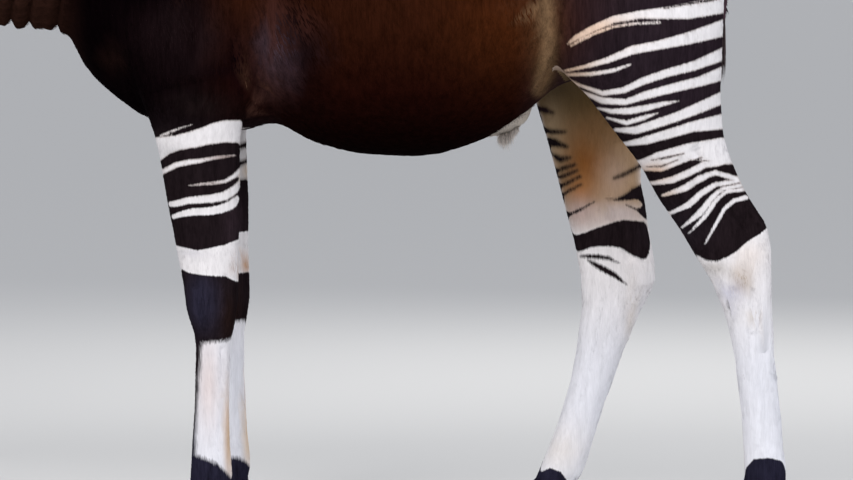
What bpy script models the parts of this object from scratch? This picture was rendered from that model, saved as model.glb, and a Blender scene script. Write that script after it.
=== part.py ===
"""A life-size male okapi, standing, as a still museum model.

Metres, +Z up. The animal faces -X and its left side is -Y. The floor is z = 0.
The flesh is lofted from bone to bone, fused into one skin, and then parted with thin cuts.
Hooves, eyes, ears, ossicones and tail are pieces of their own, set against what carries them.
"""

import math

import bmesh
import bpy
import numpy as np
from mathutils import Matrix, Vector
from mathutils.bvhtree import BVHTree

# Driving sizes
GAP = 0.0003
LEFT, RIGHT = -1, 1

# Fineness of the skin
VOXEL = 0.006
SMOOTHING_ROUNDS = 10
TRUNK_ROUNDS = 60
BODY_FACETS = 6900
HEAD_VOXEL = 0.003
HEAD_FACETS = 3050
SKIN_GROWTH = 0.0012  # makes up for what smoothing takes off

# Trunk: x, lowest z, highest z, z of the widest line, half width, narrowing towards the spine
TRUNK = [
    (-0.275, 0.945, 1.20, 1.05, 0.060, 0.1),
    (-0.240, 0.872, 1.33, 1.05, 0.118, 0.2),
    (-0.198, 0.826, 1.40, 1.04, 0.155, 0.3),
    (-0.126, 0.776, 1.450, 1.04, 0.185, 0.38),
    (-0.040, 0.753, 1.480, 1.04, 0.200, 0.42),
    (0.050, 0.750, 1.500, 1.04, 0.215, 0.42),
    (0.107, 0.765, 1.492, 1.03, 0.228, 0.40),
    (0.183, 0.730, 1.468, 1.01, 0.250, 0.36),
    (0.280, 0.707, 1.440, 1.00, 0.272, 0.30),
    (0.375, 0.703, 1.424, 1.00, 0.280, 0.26),
    (0.481, 0.728, 1.416, 1.02, 0.272, 0.26),
    (0.572, 0.782, 1.416, 1.06, 0.250, 0.28),
    (0.640, 0.835, 1.416, 1.12, 0.225, 0.30),
    (0.740, 0.865, 1.398, 1.16, 0.205, 0.30),
    (0.840, 0.900, 1.352, 1.16, 0.170, 0.25),
    (0.905, 0.980, 1.300, 1.16, 0.115, 0.20),
    (0.930, 1.070, 1.260, 1.17, 0.060, 0.10),
]
# Neck: x, lowest z, highest z, half width
NECK = [
    (0.000, 1.000, 1.470, 0.120),
    (-0.100, 0.935, 1.445, 0.138),
    (-0.200, 0.925, 1.405, 0.135),
    (-0.267, 0.936, 1.375, 0.125),
    (-0.330, 0.940, 1.347, 0.113),
    (-0.400, 0.944, 1.322, 0.101),
    (-0.500, 0.957, 1.296, 0.089),
    (-0.600, 0.983, 1.282, 0.081),
    (-0.700, 1.020, 1.280, 0.078),
    (-0.790, 1.070, 1.270, 0.070),
]
# Left foreleg: z, foremost x, rearmost x, half width, middle's distance from the mid-plane
FORELEG = [
    (1.150, -0.150, 0.060, 0.040, 0.110),
    (1.050, -0.198, 0.078, 0.075, 0.118),
    (0.950, -0.188, 0.084, 0.082, 0.124),
    (0.860, -0.148, 0.082, 0.078, 0.126),
    (0.800, -0.122, 0.066, 0.070, 0.126),
    (0.730, -0.099, 0.053, 0.060, 0.124),
    (0.627, -0.081, 0.0535, 0.050, 0.120),
    (0.536, -0.064, 0.050, 0.044, 0.118),
    (0.464, -0.051, 0.049, 0.043, 0.116),
    (0.425, -0.047, 0.047, 0.043, 0.115),
    (0.395, -0.036, 0.041, 0.037, 0.114),
    (0.365, -0.030, 0.0352, 0.030, 0.114),
    (0.264, -0.0325, 0.0325, 0.028, 0.112),
    (0.180, -0.0375, 0.0335, 0.030, 0.111),
    (0.118, -0.041, 0.0370, 0.037, 0.110),
    (0.085, -0.045, 0.0280, 0.034, 0.109),
    (0.055, -0.056, 0.0240, 0.037, 0.108),
    (0.030, -0.060, 0.0240, 0.037, 0.108),
]
FORELEG_KEEL = 0.25
FORE_RIGHT_LEAN = 0.040  # how far back the right foreleg leans, in metres per metre down
FORE_RIGHT_PIVOT_Z = 0.75
# Left hind leg, upright, and right hind leg, a step forward: same columns as the foreleg
HINDLEG_LEFT = [
    (1.300, 0.680, 0.890, 0.050, 0.120),
    (1.200, 0.630, 0.925, 0.085, 0.130),
    (1.080, 0.610, 0.932, 0.100, 0.138),
    (0.960, 0.615, 0.932, 0.102, 0.140),
    (0.880, 0.628, 0.930, 0.098, 0.142),
    (0.816, 0.685, 0.927, 0.084, 0.142),
    (0.753, 0.733, 0.932, 0.070, 0.138),
    (0.690, 0.781, 0.952, 0.056, 0.132),
    (0.630, 0.814, 0.982, 0.046, 0.126),
    (0.573, 0.853, 1.017, 0.041, 0.122),
    (0.520, 0.885, 1.023, 0.040, 0.120),
    (0.480, 0.910, 1.023, 0.040, 0.118),
    (0.440, 0.928, 1.024, 0.037, 0.117),
    (0.395, 0.943, 1.0265, 0.033, 0.116),
    (0.330, 0.955, 1.031, 0.030, 0.115),
    (0.224, 0.9675, 1.0425, 0.030, 0.113),
    (0.162, 0.972, 1.0485, 0.033, 0.112),
    (0.121, 0.974, 1.0535, 0.038, 0.111),
    (0.085, 0.966, 1.043, 0.034, 0.110),
    (0.055, 0.953, 1.033, 0.037, 0.109),
    (0.030, 0.948, 1.033, 0.037, 0.109),
]
HINDLEG_RIGHT = [
    (1.300, 0.660, 0.880, 0.050, 0.120),
    (1.200, 0.620, 0.915, 0.085, 0.130),
    (1.080, 0.595, 0.925, 0.100, 0.138),
    (0.960, 0.585, 0.915, 0.102, 0.140),
    (0.860, 0.585, 0.870, 0.098, 0.142),
    (0.790, 0.600, 0.830, 0.086, 0.142),
    (0.730, 0.618, 0.800, 0.070, 0.138),
    (0.660, 0.637, 0.796, 0.054, 0.130),
    (0.600, 0.652, 0.8055, 0.046, 0.126),
    (0.545, 0.667, 0.814, 0.042, 0.123),
    (0.500, 0.676, 0.822, 0.041, 0.121),
    (0.465, 0.682, 0.824, 0.040, 0.120),
    (0.425, 0.684, 0.8045, 0.037, 0.119),
    (0.374, 0.678, 0.7825, 0.033, 0.118),
    (0.320, 0.671, 0.7615, 0.030, 0.117),
    (0.226, 0.648, 0.727, 0.030, 0.115),
    (0.150, 0.621, 0.703, 0.033, 0.113),
    (0.100, 0.600, 0.687, 0.038, 0.112),
    (0.075, 0.590, 0.665, 0.035, 0.111),
    (0.050, 0.573, 0.650, 0.037, 0.110),
    (0.030, 0.568, 0.650, 0.037, 0.110),
]
HINDLEG_KEEL = 0.45

# Head, along its own axis from the back of the skull: distance, lowest, highest, half width, flatness
HEAD_ORIGIN = Vector((-0.755, 0.0, 1.195))
HEAD_PITCH = math.radians(31)
HEAD_LENGTH = 0.478
HEAD = [
    (-0.060, -0.085, 0.050, 0.055, 0.10),
    (-0.020, -0.105, 0.072, 0.070, 0.10),
    (0.040, -0.116, 0.089, 0.075, 0.12),
    (0.100, -0.116, 0.096, 0.076, 0.15),
    (0.150, -0.106, 0.092, 0.075, 0.18),
    (0.200, -0.095, 0.078, 0.068, 0.22),
    (0.250, -0.084, 0.063, 0.056, 0.22),
    (0.300, -0.073, 0.051, 0.047, 0.20),
    (0.350, -0.064, 0.042, 0.042, 0.16),
    (0.400, -0.058, 0.035, 0.040, 0.12),
    (0.440, -0.053, 0.028, 0.039, 0.08),
    (0.462, -0.046, 0.019, 0.034, 0.05),
    (0.474, -0.036, 0.006, 0.022, 0.05),
    (0.478, -0.028, -0.006, 0.010, 0.05),
]
EYE_PLACE = (0.168, 0.058, 0.040)  # along the head, out from its mid-plane, above its axis
EYE_RADIUS = 0.024
LID_RADIUS = 0.0275
LID_OPENING = (0.0225, 0.0145)  # half length and half height of the gap between the lids
NOSTRIL_PLACE = (0.440, 0.010, 0.003)  # the point inside the muzzle that the nostrils face away from
NOSTRIL_FACES = (0.62, 0.78, 0.10)  # along the head, outward, up
MOUTH_LINE = [
    (0.495, -0.0235), (0.470, -0.0245), (0.440, -0.0285), (0.400, -0.0305), (0.365, -0.0285), (0.352, -0.0245),
]
MOUTH_DEPTH, MOUTH_WIDTH = 0.007, 0.0022

# Ear: share of the length, half breadth along the curve, half angle of the cup, thickness
EAR_LENGTH = 0.235
EAR = [
    (0.00, 0.0470, 2.60, 0.0060),
    (0.08, 0.0500, 2.45, 0.0060),
    (0.18, 0.0560, 2.05, 0.0058),
    (0.30, 0.0620, 1.65, 0.0054),
    (0.45, 0.0680, 1.32, 0.0050),
    (0.60, 0.0690, 1.12, 0.0046),
    (0.75, 0.0620, 0.98, 0.0042),
    (0.87, 0.0480, 0.88, 0.0038),
    (0.955, 0.0290, 0.82, 0.0034),
    (1.00, 0.0110, 0.78, 0.0030),
]
EAR_PLACE = (0.036, 0.054, 0.044)
EAR_POINTS = Vector((0.40, 0.78, 0.50))  # back, out and up
EAR_FACES = Vector((-0.84, 0.42, 0.12))  # forward and out
EAR_SEAT = 0.055
EAR_FLOOR = 0.026  # height that the root fills

OSSICONE_PLACE = (0.132, 0.036, 0.068)
OSSICONE_POINTS = (-0.78, 0.05, 0.62)  # along the head, outward, up
OSSICONE = [
    (0.000, 0.0230), (0.020, 0.0215), (0.045, 0.0165), (0.080, 0.0135),
    (0.108, 0.0120), (0.122, 0.0105), (0.131, 0.0070), (0.1345, 0.0025),
]

# Tail: points down its middle, and radius
TAIL = [
    ((0.872, 0.0, 1.300), 0.0240),
    ((0.912, 0.0, 1.290), 0.0225),
    ((0.940, 0.0, 1.262), 0.0195),
    ((0.954, 0.0, 1.215), 0.0170),
    ((0.956, 0.0, 1.150), 0.0145),
    ((0.950, 0.0, 1.080), 0.0125),
    ((0.942, 0.0, 1.015), 0.0105),
    ((0.938, 0.0, 0.960), 0.0090),
    ((0.936, 0.0, 0.925), 0.0055),
]

# Hooves: toe, heel and middle of each foot on the floor, and the coronet's height at its front and back
HOOF_WIDTH = 0.041  # of one claw
CLAW_OUTLINE = [(0.0, 0.16), (0.06, 0.50), (0.20, 0.80), (0.45, 1.0), (0.72, 1.0), (0.92, 0.78), (1.0, 0.45)]
CLEFT = 0.0030
HOOF_TURN = math.radians(3)
HOOF_TOE_SLOPE, HOOF_HEEL_SLOPE = 0.62, 0.18  # run back and forward per metre of rise
CORONET = (0.066, 0.042)
FEET = {
    "front_left": (-0.098, 0.030, LEFT * 0.108),
    "front_right": (-0.070, 0.058, RIGHT * 0.108),
    "hind_left": (0.910, 1.037, LEFT * 0.109),
    "hind_right": (0.527, 0.653, RIGHT * 0.110),
}

# Where the flesh is parted
HEAD_CUT = ((-0.712, 0.0, 1.15), (-1.0, 0.0, -0.06))
NECK_CUT = ((-0.170, 0.0, 1.215), (-0.57, 0.0, 0.18))
KNEE_HEIGHT = 0.430
HOCK_HEIGHT = {"left": 0.500, "right": 0.470}
FORE_CELL = ((-0.225, 0.100), (0.745, 0.030), (1.060, 0.235))  # x range, then height and breadth of its roof
HIND_CELL = ((0.600, 0.570), (0.820, 0.030), (1.200, 0.240))  # front x left and right, then its roof

# Muscles and bones under the skin, on both sides: centre and radii
MUSCLES = [
    ((0.000, 0.104, 1.160), (0.135, 0.092, 0.235)),  # shoulder blade
    ((-0.055, 0.132, 1.040), (0.105, 0.078, 0.135)),  # upper arm
    ((0.035, 0.158, 0.985), (0.080, 0.060, 0.120)),  # back of the upper arm
    ((-0.160, 0.106, 0.985), (0.072, 0.060, 0.085)),  # point of the shoulder
    ((0.064, 0.150, 0.865), (0.026, 0.030, 0.042)),  # elbow
    ((0.740, 0.118, 1.190), (0.170, 0.098, 0.180)),  # haunch
    ((0.672, 0.160, 1.080), (0.072, 0.062, 0.200)),  # front of the thigh
    ((0.632, 0.110, 1.315), (0.090, 0.052, 0.064)),  # point of the hip
    ((0.888, 0.066, 1.215), (0.046, 0.048, 0.080)),  # seat bone
    ((0.878, 0.110, 1.040), (0.060, 0.070, 0.150)),  # back of the thigh
    ((0.080, 0.000, 1.425), (0.210, 0.096, 0.066)),  # withers
    ((0.880, 0.000, 1.272), (0.070, 0.040, 0.042)),  # root of the tail
    ((0.650, 0.045, 1.350), (0.150, 0.080, 0.055)),  # croup
]
# On the head, in its own frame
HEAD_BULGES = [
    ((0.100, 0.034, -0.046), (0.090, 0.040, 0.066)),  # cheek
    ((0.195, 0.046, 0.014), (0.075, 0.022, 0.016)),  # cheekbone
    ((0.166, 0.048, 0.064), (0.040, 0.022, 0.013)),  # brow
    ((0.125, 0.034, 0.074), (0.040, 0.028, 0.026)),  # foot of the ossicone
    ((0.446, 0.019, 0.006), (0.032, 0.021, 0.019)),  # nostril's wing
    ((0.430, 0.013, -0.043), (0.038, 0.021, 0.014)),  # lower lip
    ((0.425, 0.026, -0.013), (0.048, 0.016, 0.016)),  # upper lip
    ((0.030, 0.046, 0.036), (0.045, 0.036, 0.040)),  # foot of the ear
]

# Long hair: the tail's tuft, and the pad on the belly with its pale tuft
TAIL_LOCKS = 11
BELLY_PAD = ((0.548, 0.0, 0.768), (0.046, 0.019, 0.020))
BELLY_SLOPE = math.radians(34)
# Place along the pad, off to a side, the way it hangs, length
BELLY_LOCKS = [
    (-0.024, -0.005, (-0.03, -0.10, -1.0), 0.034),
    (-0.015, 0.006, (0.00, 0.16, -1.0), 0.042),
    (-0.006, -0.006, (0.02, -0.14, -1.0), 0.048),
    (0.003, 0.005, (0.04, 0.10, -1.0), 0.048),
    (0.012, -0.005, (0.08, -0.08, -1.0), 0.044),
    (0.021, 0.003, (0.12, 0.06, -1.0), 0.036),
]

# Colours of each kind of piece: red, green, blue, roughness
COLOURS = {
    "coat": (0.115, 0.045, 0.026, 0.75),
    "muzzle": (0.060, 0.035, 0.030, 0.60),
    "ear": (0.060, 0.035, 0.028, 0.75),
    "shank": (0.620, 0.580, 0.520, 0.75),
    "tuft": (0.500, 0.460, 0.400, 0.80),
    "eye": (0.012, 0.008, 0.006, 0.08),
    "horn": (0.110, 0.075, 0.055, 0.50),
    "hoof": (0.045, 0.040, 0.038, 0.45),
}


def superpower(value, power):
    """Signed power, which squares up a circle's sine and cosine into a superellipse's."""
    return math.copysign(abs(value) ** (2 / power), value)


def oval(sides, low, high, middle, half, keel_high=0.0, keel_low=0.0, power=2.2):
    """Points round a section: (height, breadth) pairs, narrowed by a keel towards either end."""
    points = []
    for k in range(sides):
        angle = 2 * math.pi * k / sides
        up, across = math.cos(angle), math.sin(angle)
        reach = (high - middle) if up > 0 else (middle - low)
        height = middle + reach * superpower(up, power)
        slim = 1 - keel_high * max(0, up) ** 1.5 - keel_low * max(0, -up) ** 1.5
        points.append((height, half * slim * superpower(across, power)))
    return points


def smooth_rows(stations, spacing):
    """Rows on a smooth monotone curve through the stations, at most spacing apart in the first column."""
    rows = np.array(sorted(stations), float)
    t, v = rows[:, 0], rows[:, 1:]
    step = np.diff(t)[:, None]
    slope = np.diff(v, axis=0) / step
    tangent = np.zeros_like(v)
    ahead, behind = 2 * step[1:] + step[:-1], step[1:] + 2 * step[:-1]
    before, after = slope[:-1], slope[1:]
    same_way = before * after > 0
    safe_before = np.where(same_way, before, 1)
    safe_after = np.where(same_way, after, 1)
    mean = (ahead + behind) / (ahead / safe_before + behind / safe_after)
    tangent[1:-1] = np.where(same_way, mean, 0)
    tangent[0], tangent[-1] = slope[0], slope[-1]
    made = []
    for i in range(len(t) - 1):
        count = max(1, math.ceil((t[i + 1] - t[i]) / spacing))
        for k in range(count):
            u = k / count
            h = step[i, 0]
            value = (
                (2 * u**3 - 3 * u**2 + 1) * v[i]
                + (u**3 - 2 * u**2 + u) * h * tangent[i]
                + (3 * u**2 - 2 * u**3) * v[i + 1]
                + (u**3 - u**2) * h * tangent[i + 1]
            )
            made.append((t[i] + u * h, *value))
    made.append((t[-1], *v[-1]))
    return made


def link(name, mesh):
    """An object of this mesh in the scene."""
    obj = bpy.data.objects.new(name, mesh)
    bpy.context.scene.collection.objects.link(obj)
    return obj


def mesh_object(name, rings):
    """A closed tube through rings of points, all with the same count of sides."""
    shape = bmesh.new()
    rows = [[shape.verts.new(point) for point in ring] for ring in rings]
    sides = len(rings[0])
    for low, high in zip(rows, rows[1:]):
        for k in range(sides):
            j = (k + 1) % sides
            shape.faces.new((low[k], low[j], high[j], high[k]))
    shape.faces.new(reversed(rows[0]))
    shape.faces.new(rows[-1])
    bmesh.ops.recalc_face_normals(shape, faces=shape.faces)
    mesh = bpy.data.meshes.new(name)
    shape.to_mesh(mesh)
    shape.free()
    return link(name, mesh)


def along_x(name, stations, sides=32, spacing=0.02):
    """A trunk-like tube with upright sections: x, low z, high z, middle z, half width, spine keel."""
    rings = []
    for x, low, high, middle, half, keel in smooth_rows(stations, spacing):
        section = oval(sides, low, high, middle, half, keel_high=keel)
        rings.append([(x, y, z) for z, y in section])
    return mesh_object(name, rings)


def leg_tube(name, stations, side, keel, lean=0.0, pivot_z=0.0, sides=24, spacing=0.02):
    """A leg with level sections: z, front x, back x, half width, distance out from the mid-plane."""
    rings = []
    for z, front, back, half, out in smooth_rows(stations, spacing):
        back_shift = lean * max(0.0, pivot_z - z)
        section = oval(sides, front, back, (front + back) / 2, half, keel_high=keel)
        rings.append([(x + back_shift, side * out + y, z) for x, y in section])
    return mesh_object(name, rings)


def ball(name, centre, radii, matrix=None, fineness=3):
    """A closed ellipsoid, in the world or in the space of a matrix."""
    shape = bmesh.new()
    bmesh.ops.create_icosphere(shape, subdivisions=fineness, radius=1.0)
    place = Matrix.Translation(centre) @ Matrix.Diagonal((*radii, 1.0))
    if matrix is not None:
        place = matrix @ place
    bmesh.ops.transform(shape, matrix=place, verts=shape.verts)
    mesh = bpy.data.meshes.new(name)
    shape.to_mesh(mesh)
    shape.free()
    return link(name, mesh)


def head_frame():
    """The head's own axes: x along it to the nose, y to the animal's left, z up."""
    along = Vector((-math.cos(HEAD_PITCH), 0.0, -math.sin(HEAD_PITCH)))
    up = Vector((-math.sin(HEAD_PITCH), 0.0, math.cos(HEAD_PITCH)))
    turn = Matrix((along, (0.0, -1.0, 0.0), up)).transposed().to_4x4()
    return Matrix.Translation(HEAD_ORIGIN) @ turn


def on_head(place, side):
    """A place on the head given as (along, out, up), on one side."""
    along, out, up = place
    return head_frame() @ Vector((along, -side * out, up))


def clear_scene():
    """Nothing but what this file builds."""
    for obj in list(bpy.data.objects):
        bpy.data.objects.remove(obj)


def joined(name, objects):
    """One object holding the closed shapes of several, still overlapping."""
    shape = bmesh.new()
    for obj in objects:
        shape.from_mesh(obj.data)
        bpy.data.objects.remove(obj)
    mesh = bpy.data.meshes.new(name)
    shape.to_mesh(mesh)
    shape.free()
    return link(name, mesh)


def settle(obj):
    """Turns an object's modifiers into plain mesh."""
    graph = bpy.context.evaluated_depsgraph_get()
    graph.update()
    mesh = bpy.data.meshes.new_from_object(obj.evaluated_get(graph))
    obj.modifiers.clear()
    obj.data = mesh
    return obj


def copy_of(obj, name):
    """A second object with a mesh of its own."""
    return link(name, obj.data.copy())


def grow(obj, distance):
    """Moves every point out along its normal."""
    normals = [Vector(v.normal) for v in obj.data.vertices]
    for vertex, normal in zip(obj.data.vertices, normals):
        vertex.co += normal * distance
    return obj


def soften(body, low_z, high_z, front_x, rounds):
    """Smooths the trunk further, fading in between two heights, so that muscles run into one another."""
    group = body.vertex_groups.new(name="trunk")
    for vertex in body.data.vertices:
        share = (vertex.co.z - low_z) / (high_z - low_z)
        share *= 1.0 if vertex.co.x > front_x else 0.0
        group.add([vertex.index], min(1.0, max(0.0, share)), "REPLACE")
    smooth = body.modifiers.new("soften", "SMOOTH")
    smooth.factor = 0.5
    smooth.iterations = rounds
    smooth.vertex_group = "trunk"
    return settle(body)


def skin_over(name, shapes, voxel, facets, trunk_rounds=0):
    """Fuses overlapping shapes into one skin, smooths it and thins it to a count of facets."""
    body = joined(name, shapes)
    remesh = body.modifiers.new("fuse", "REMESH")
    remesh.mode = "VOXEL"
    remesh.voxel_size = voxel
    smooth = body.modifiers.new("smooth", "SMOOTH")
    smooth.factor = 0.5
    smooth.iterations = SMOOTHING_ROUNDS
    settle(body)
    if trunk_rounds:
        soften(body, 0.80, 1.00, -0.60, trunk_rounds)
    grow(body, SKIN_GROWTH)
    count = sum(len(p.vertices) - 2 for p in body.data.polygons)
    thin = body.modifiers.new("thin", "DECIMATE")
    thin.ratio = min(1.0, facets / count)
    return settle(body)


def boolean(obj, cutter, operation, keep_cutter=False):
    """Cuts, joins or keeps what two shapes share."""
    step = obj.modifiers.new("cut", "BOOLEAN")
    step.operation = operation
    step.solver = "EXACT"
    step.object = cutter
    settle(obj)
    if not keep_cutter:
        bpy.data.objects.remove(cutter)
    return obj


def half_space(name, point, normal, back=0.0):
    """A block that fills one side of a plane, starting a little behind it."""
    normal = Vector(normal).normalized()
    size = 4.0
    turn = normal.to_track_quat("Z", "Y").to_matrix().to_4x4()
    middle = Vector(point) - normal * back + normal * (size / 2)
    shape = bmesh.new()
    bmesh.ops.create_cube(shape, size=size, matrix=Matrix.Translation(middle) @ turn)
    mesh = bpy.data.meshes.new(name)
    shape.to_mesh(mesh)
    shape.free()
    return link(name, mesh)


def part_along(obj, point, normal, name):
    """Cuts off what lies beyond a plane as a piece of its own, with a thin gap left between."""
    beyond = copy_of(obj, name)
    boolean(beyond, half_space("beyond", point, normal, -GAP / 2), "INTERSECT")
    boolean(obj, half_space("beyond", point, normal, GAP / 2), "DIFFERENCE")
    return beyond


def hull(name, points):
    """The convex shape through these points."""
    shape = bmesh.new()
    for point in points:
        shape.verts.new(point)
    bmesh.ops.convex_hull(shape, input=shape.verts)
    bmesh.ops.recalc_face_normals(shape, faces=shape.faces)
    mesh = bpy.data.meshes.new(name)
    shape.to_mesh(mesh)
    shape.free()
    return link(name, mesh)


def leg_cell(name, side, front_top, front_foot, back, inner_roof, outer_roof, less):
    """The space of one leg under a roof that rises outward, drawn in by a small distance."""
    (low_z, near_y), (high_z, far_y) = inner_roof, outer_roof
    rise = (high_z - low_z) / (far_y - near_y)
    top_z = low_z + rise * (0.45 - near_y)
    points = []
    for z, y in ((-0.1, near_y), (-0.1, 0.45), (low_z, near_y), (top_z, 0.45)):
        share = (1.2 - z) / 1.2
        front = front_top + (front_foot - front_top) * share
        inset_y = y + less if y < 0.4 else y
        inset_z = z - less * math.hypot(1, rise) if z > 0 else z
        points.append((front + less, side * inset_y, inset_z))
        points.append((back - less, side * inset_y, inset_z))
    return hull(name, points)


def keep_largest(obj):
    """Drops crumbs a cut may leave and any points without a face."""
    shape = bmesh.new()
    shape.from_mesh(obj.data)
    bmesh.ops.remove_doubles(shape, verts=shape.verts, dist=2e-6)
    bmesh.ops.dissolve_degenerate(shape, edges=shape.edges, dist=2e-6)
    shape.verts.ensure_lookup_table()
    unseen, groups = set(shape.verts), []
    while unseen:
        stack, group = [unseen.pop()], []
        while stack:
            vertex = stack.pop()
            group.append(vertex)
            for edge in vertex.link_edges:
                other = edge.other_vert(vertex)
                if other in unseen:
                    unseen.remove(other)
                    stack.append(other)
        groups.append(group)
    groups.sort(key=len, reverse=True)
    for group in groups[1:]:
        bmesh.ops.delete(shape, geom=group, context="VERTS")
    bmesh.ops.triangulate(shape, faces=shape.faces)
    bmesh.ops.recalc_face_normals(shape, faces=shape.faces)
    shape.to_mesh(obj.data)
    shape.free()
    return obj


def lock(name, root, direction, length, width=0.010, thickness=0.0035, bend=0.25, twist=0.0):
    """A flat tapered lock of hair, bent along its length."""
    direction = Vector(direction).normalized()
    across = direction.cross(Vector((math.cos(twist), math.sin(twist), 0.0))).normalized()
    flat = across.cross(direction).normalized()
    rings = []
    for share, wide in ((0.0, 0.8), (0.35, 1.0), (0.75, 0.6), (1.0, 0.12)):
        middle = Vector(root) + direction * (length * share) + flat * (bend * length * share**2)
        corners = []
        for u, v in ((1, 0), (0, 1), (-1, 0), (0, -1)):
            depth = thickness * (0.5 + 0.5 * wide)
            corners.append(middle + across * (u * width * wide / 2) + flat * (v * depth / 2))
        rings.append(corners)
    return mesh_object(name, rings)


def head_shapes():
    """The skull, cheeks, brows, muzzle and lips, as overlapping solids."""
    frame = head_frame()
    rings = []
    for s, low, high, half, keel in smooth_rows(HEAD, 0.012):
        middle = low * 0.34 + high * 0.66
        section = oval(32, low, high, middle, half, keel_high=keel, keel_low=0.30, power=2.3)
        rings.append([frame @ Vector((s, y, z)) for z, y in section])
    shapes = [mesh_object("skull", rings)]
    for side in (LEFT, RIGHT):
        for (along, out, up), radii in HEAD_BULGES:
            shapes.append(ball("bulge", (along, -side * out, up), radii, frame))
        along, out, up = EYE_PLACE
        radii = (LID_RADIUS + 0.004, LID_RADIUS, LID_RADIUS)
        shapes.append(ball("lids", (along, -side * out, up), radii, frame))
    return shapes


def neck_shape():
    """The neck, level and low."""
    rows = [(x, low, high, (low + high) / 2, half, 0.25) for x, low, high, half in NECK]
    return along_x("neck", rows, sides=28)


def body_shapes():
    """Trunk, legs and muscles, as overlapping solids."""
    shapes = [along_x("trunk", TRUNK)]
    shapes.append(leg_tube("foreleg", FORELEG, LEFT, FORELEG_KEEL))
    shapes.append(leg_tube("foreleg", FORELEG, RIGHT, FORELEG_KEEL, FORE_RIGHT_LEAN, FORE_RIGHT_PIVOT_Z))
    shapes.append(leg_tube("hindleg", HINDLEG_LEFT, LEFT, HINDLEG_KEEL))
    shapes.append(leg_tube("hindleg", HINDLEG_RIGHT, RIGHT, HINDLEG_KEEL))
    for (x, y, z), radii in MUSCLES:
        for side in (LEFT, RIGHT):
            shapes.append(ball("muscle", (x, side * y, z), radii))
    return shapes


def mouth_groove():
    """A thin blade along the lips that stops short of the teeth."""
    frame = head_frame()
    rings = []
    for side_y in (-0.08, 0.08):
        upper, lower = [], []
        for k, (s, v) in enumerate(MOUTH_LINE):
            thick = MOUTH_WIDTH * (0.35 if k == len(MOUTH_LINE) - 1 else 1.0)
            upper.append(frame @ Vector((s, side_y, v + thick / 2)))
            lower.append(frame @ Vector((s, side_y, v - thick / 2)))
        rings.append(upper + lower[::-1])
    blade = mesh_object("blade", rings)
    rows = []
    for s, low, high, half, keel in smooth_rows(HEAD, 0.02):
        middle = low * 0.34 + high * 0.66
        section = oval(24, low + 0.004, high - 0.004, middle, max(0.002, half - MOUTH_DEPTH), keel, 0.30, 2.3)
        rows.append([frame @ Vector((s - MOUTH_DEPTH, y, z)) for z, y in section])
    core = mesh_object("core", rows)
    return boolean(blade, core, "DIFFERENCE")


def open_nostril(head, side):
    """A slanting slit where a line from inside the muzzle leaves its skin."""
    inside = on_head(NOSTRIL_PLACE, side)
    along, out, up = NOSTRIL_FACES
    outward = (head_frame().to_3x3() @ Vector((along, -side * out, up))).normalized()
    tree = BVHTree.FromObject(head, bpy.context.evaluated_depsgraph_get())
    mouth = tree.ray_cast(inside + outward * 0.2, -outward)[0]
    rise = (head_frame().to_3x3() @ Vector((-0.55, -side * 0.35, 0.75))).normalized()
    rise = (rise - outward * rise.dot(outward)).normalized()
    turn = Matrix((rise, outward.cross(rise), outward)).transposed().to_4x4()
    place = Matrix.Translation(mouth) @ turn
    cutter = ball("nostril", (0, 0, 0), (0.0115, 0.0040, 0.0095), place, fineness=2)
    boolean(head, cutter, "DIFFERENCE")


def make_head(head, nodes):
    """Opens the lids, nostrils and mouth, and seats the eyes, ears and ossicones."""
    frame = head_frame()
    boolean(head, mouth_groove(), "DIFFERENCE")
    for side, word in ((LEFT, "left"), (RIGHT, "right")):
        along, out, up = EYE_PLACE
        opening = (along + 0.002, -side * (out + LID_RADIUS), up)
        half_length, half_height = LID_OPENING
        turn = Matrix.Translation(opening) @ Matrix.Rotation(math.radians(12), 4, "Y")
        radii = (half_length, 0.016, half_height)
        boolean(head, ball("opening", (0, 0, 0), radii, frame @ turn, 2), "DIFFERENCE")
        eye = ball("eye_" + word, (along, -side * out, up), (EYE_RADIUS,) * 3, frame)
        boolean(head, grow(copy_of(eye, "socket"), GAP), "DIFFERENCE")
        nodes.append(eye)
        open_nostril(head, side)
        ear, ossicone = make_ear(side, word), make_ossicone(side, word)
        for piece, place, reach in ((ear, EAR_PLACE, EAR_SEAT), (ossicone, OSSICONE_PLACE, 1.0)):
            root = on_head(place, side)
            near = [v.co for v in piece.data.vertices if (v.co - root).length < reach]
            boolean(head, grow(hull("seat", near), 1.5 * GAP), "DIFFERENCE")
            nodes.append(piece)
    return head


def make_ear(side, word):
    """A cupped ear, almost a tube at its root and open like a leaf above."""
    root = on_head(EAR_PLACE, side)
    along = Vector((EAR_POINTS.x, side * EAR_POINTS.y, EAR_POINTS.z)).normalized()
    faces = Vector((EAR_FACES.x, side * EAR_FACES.y, EAR_FACES.z))
    faces = (faces - along * faces.dot(along)).normalized()
    across = along.cross(faces)
    rings = []
    for share, breadth, half_angle, thick in smooth_rows(EAR, 0.125):
        radius = breadth / half_angle
        lean = 0.016 * math.sin(math.pi * share)
        centre = root + along * (EAR_LENGTH * share) + faces * (radius - EAR[0][1] / EAR[0][2] - lean)
        ring = []
        for reach, steps in ((radius, range(9)), (radius - thick, range(8, -1, -1))):
            for k in steps:
                angle = half_angle * (k / 4 - 1)
                ring.append(centre - faces * (reach * math.cos(angle)) + across * (reach * math.sin(angle)))
        rings.append(ring)
    ear = mesh_object("ear_" + word, rings)
    stem = []
    for height, radius in ((-0.004, 0.0150), (EAR_FLOOR, 0.0150), (EAR_FLOOR + 0.005, 0.0090)):
        ring = []
        for k in range(14):
            angle = 2 * math.pi * (k + 0.5) / 14
            ring.append(root + along * height + (faces * math.cos(angle) + across * math.sin(angle)) * radius)
        stem.append(ring)
    return boolean(ear, mesh_object("stem", stem), "UNION")


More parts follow.
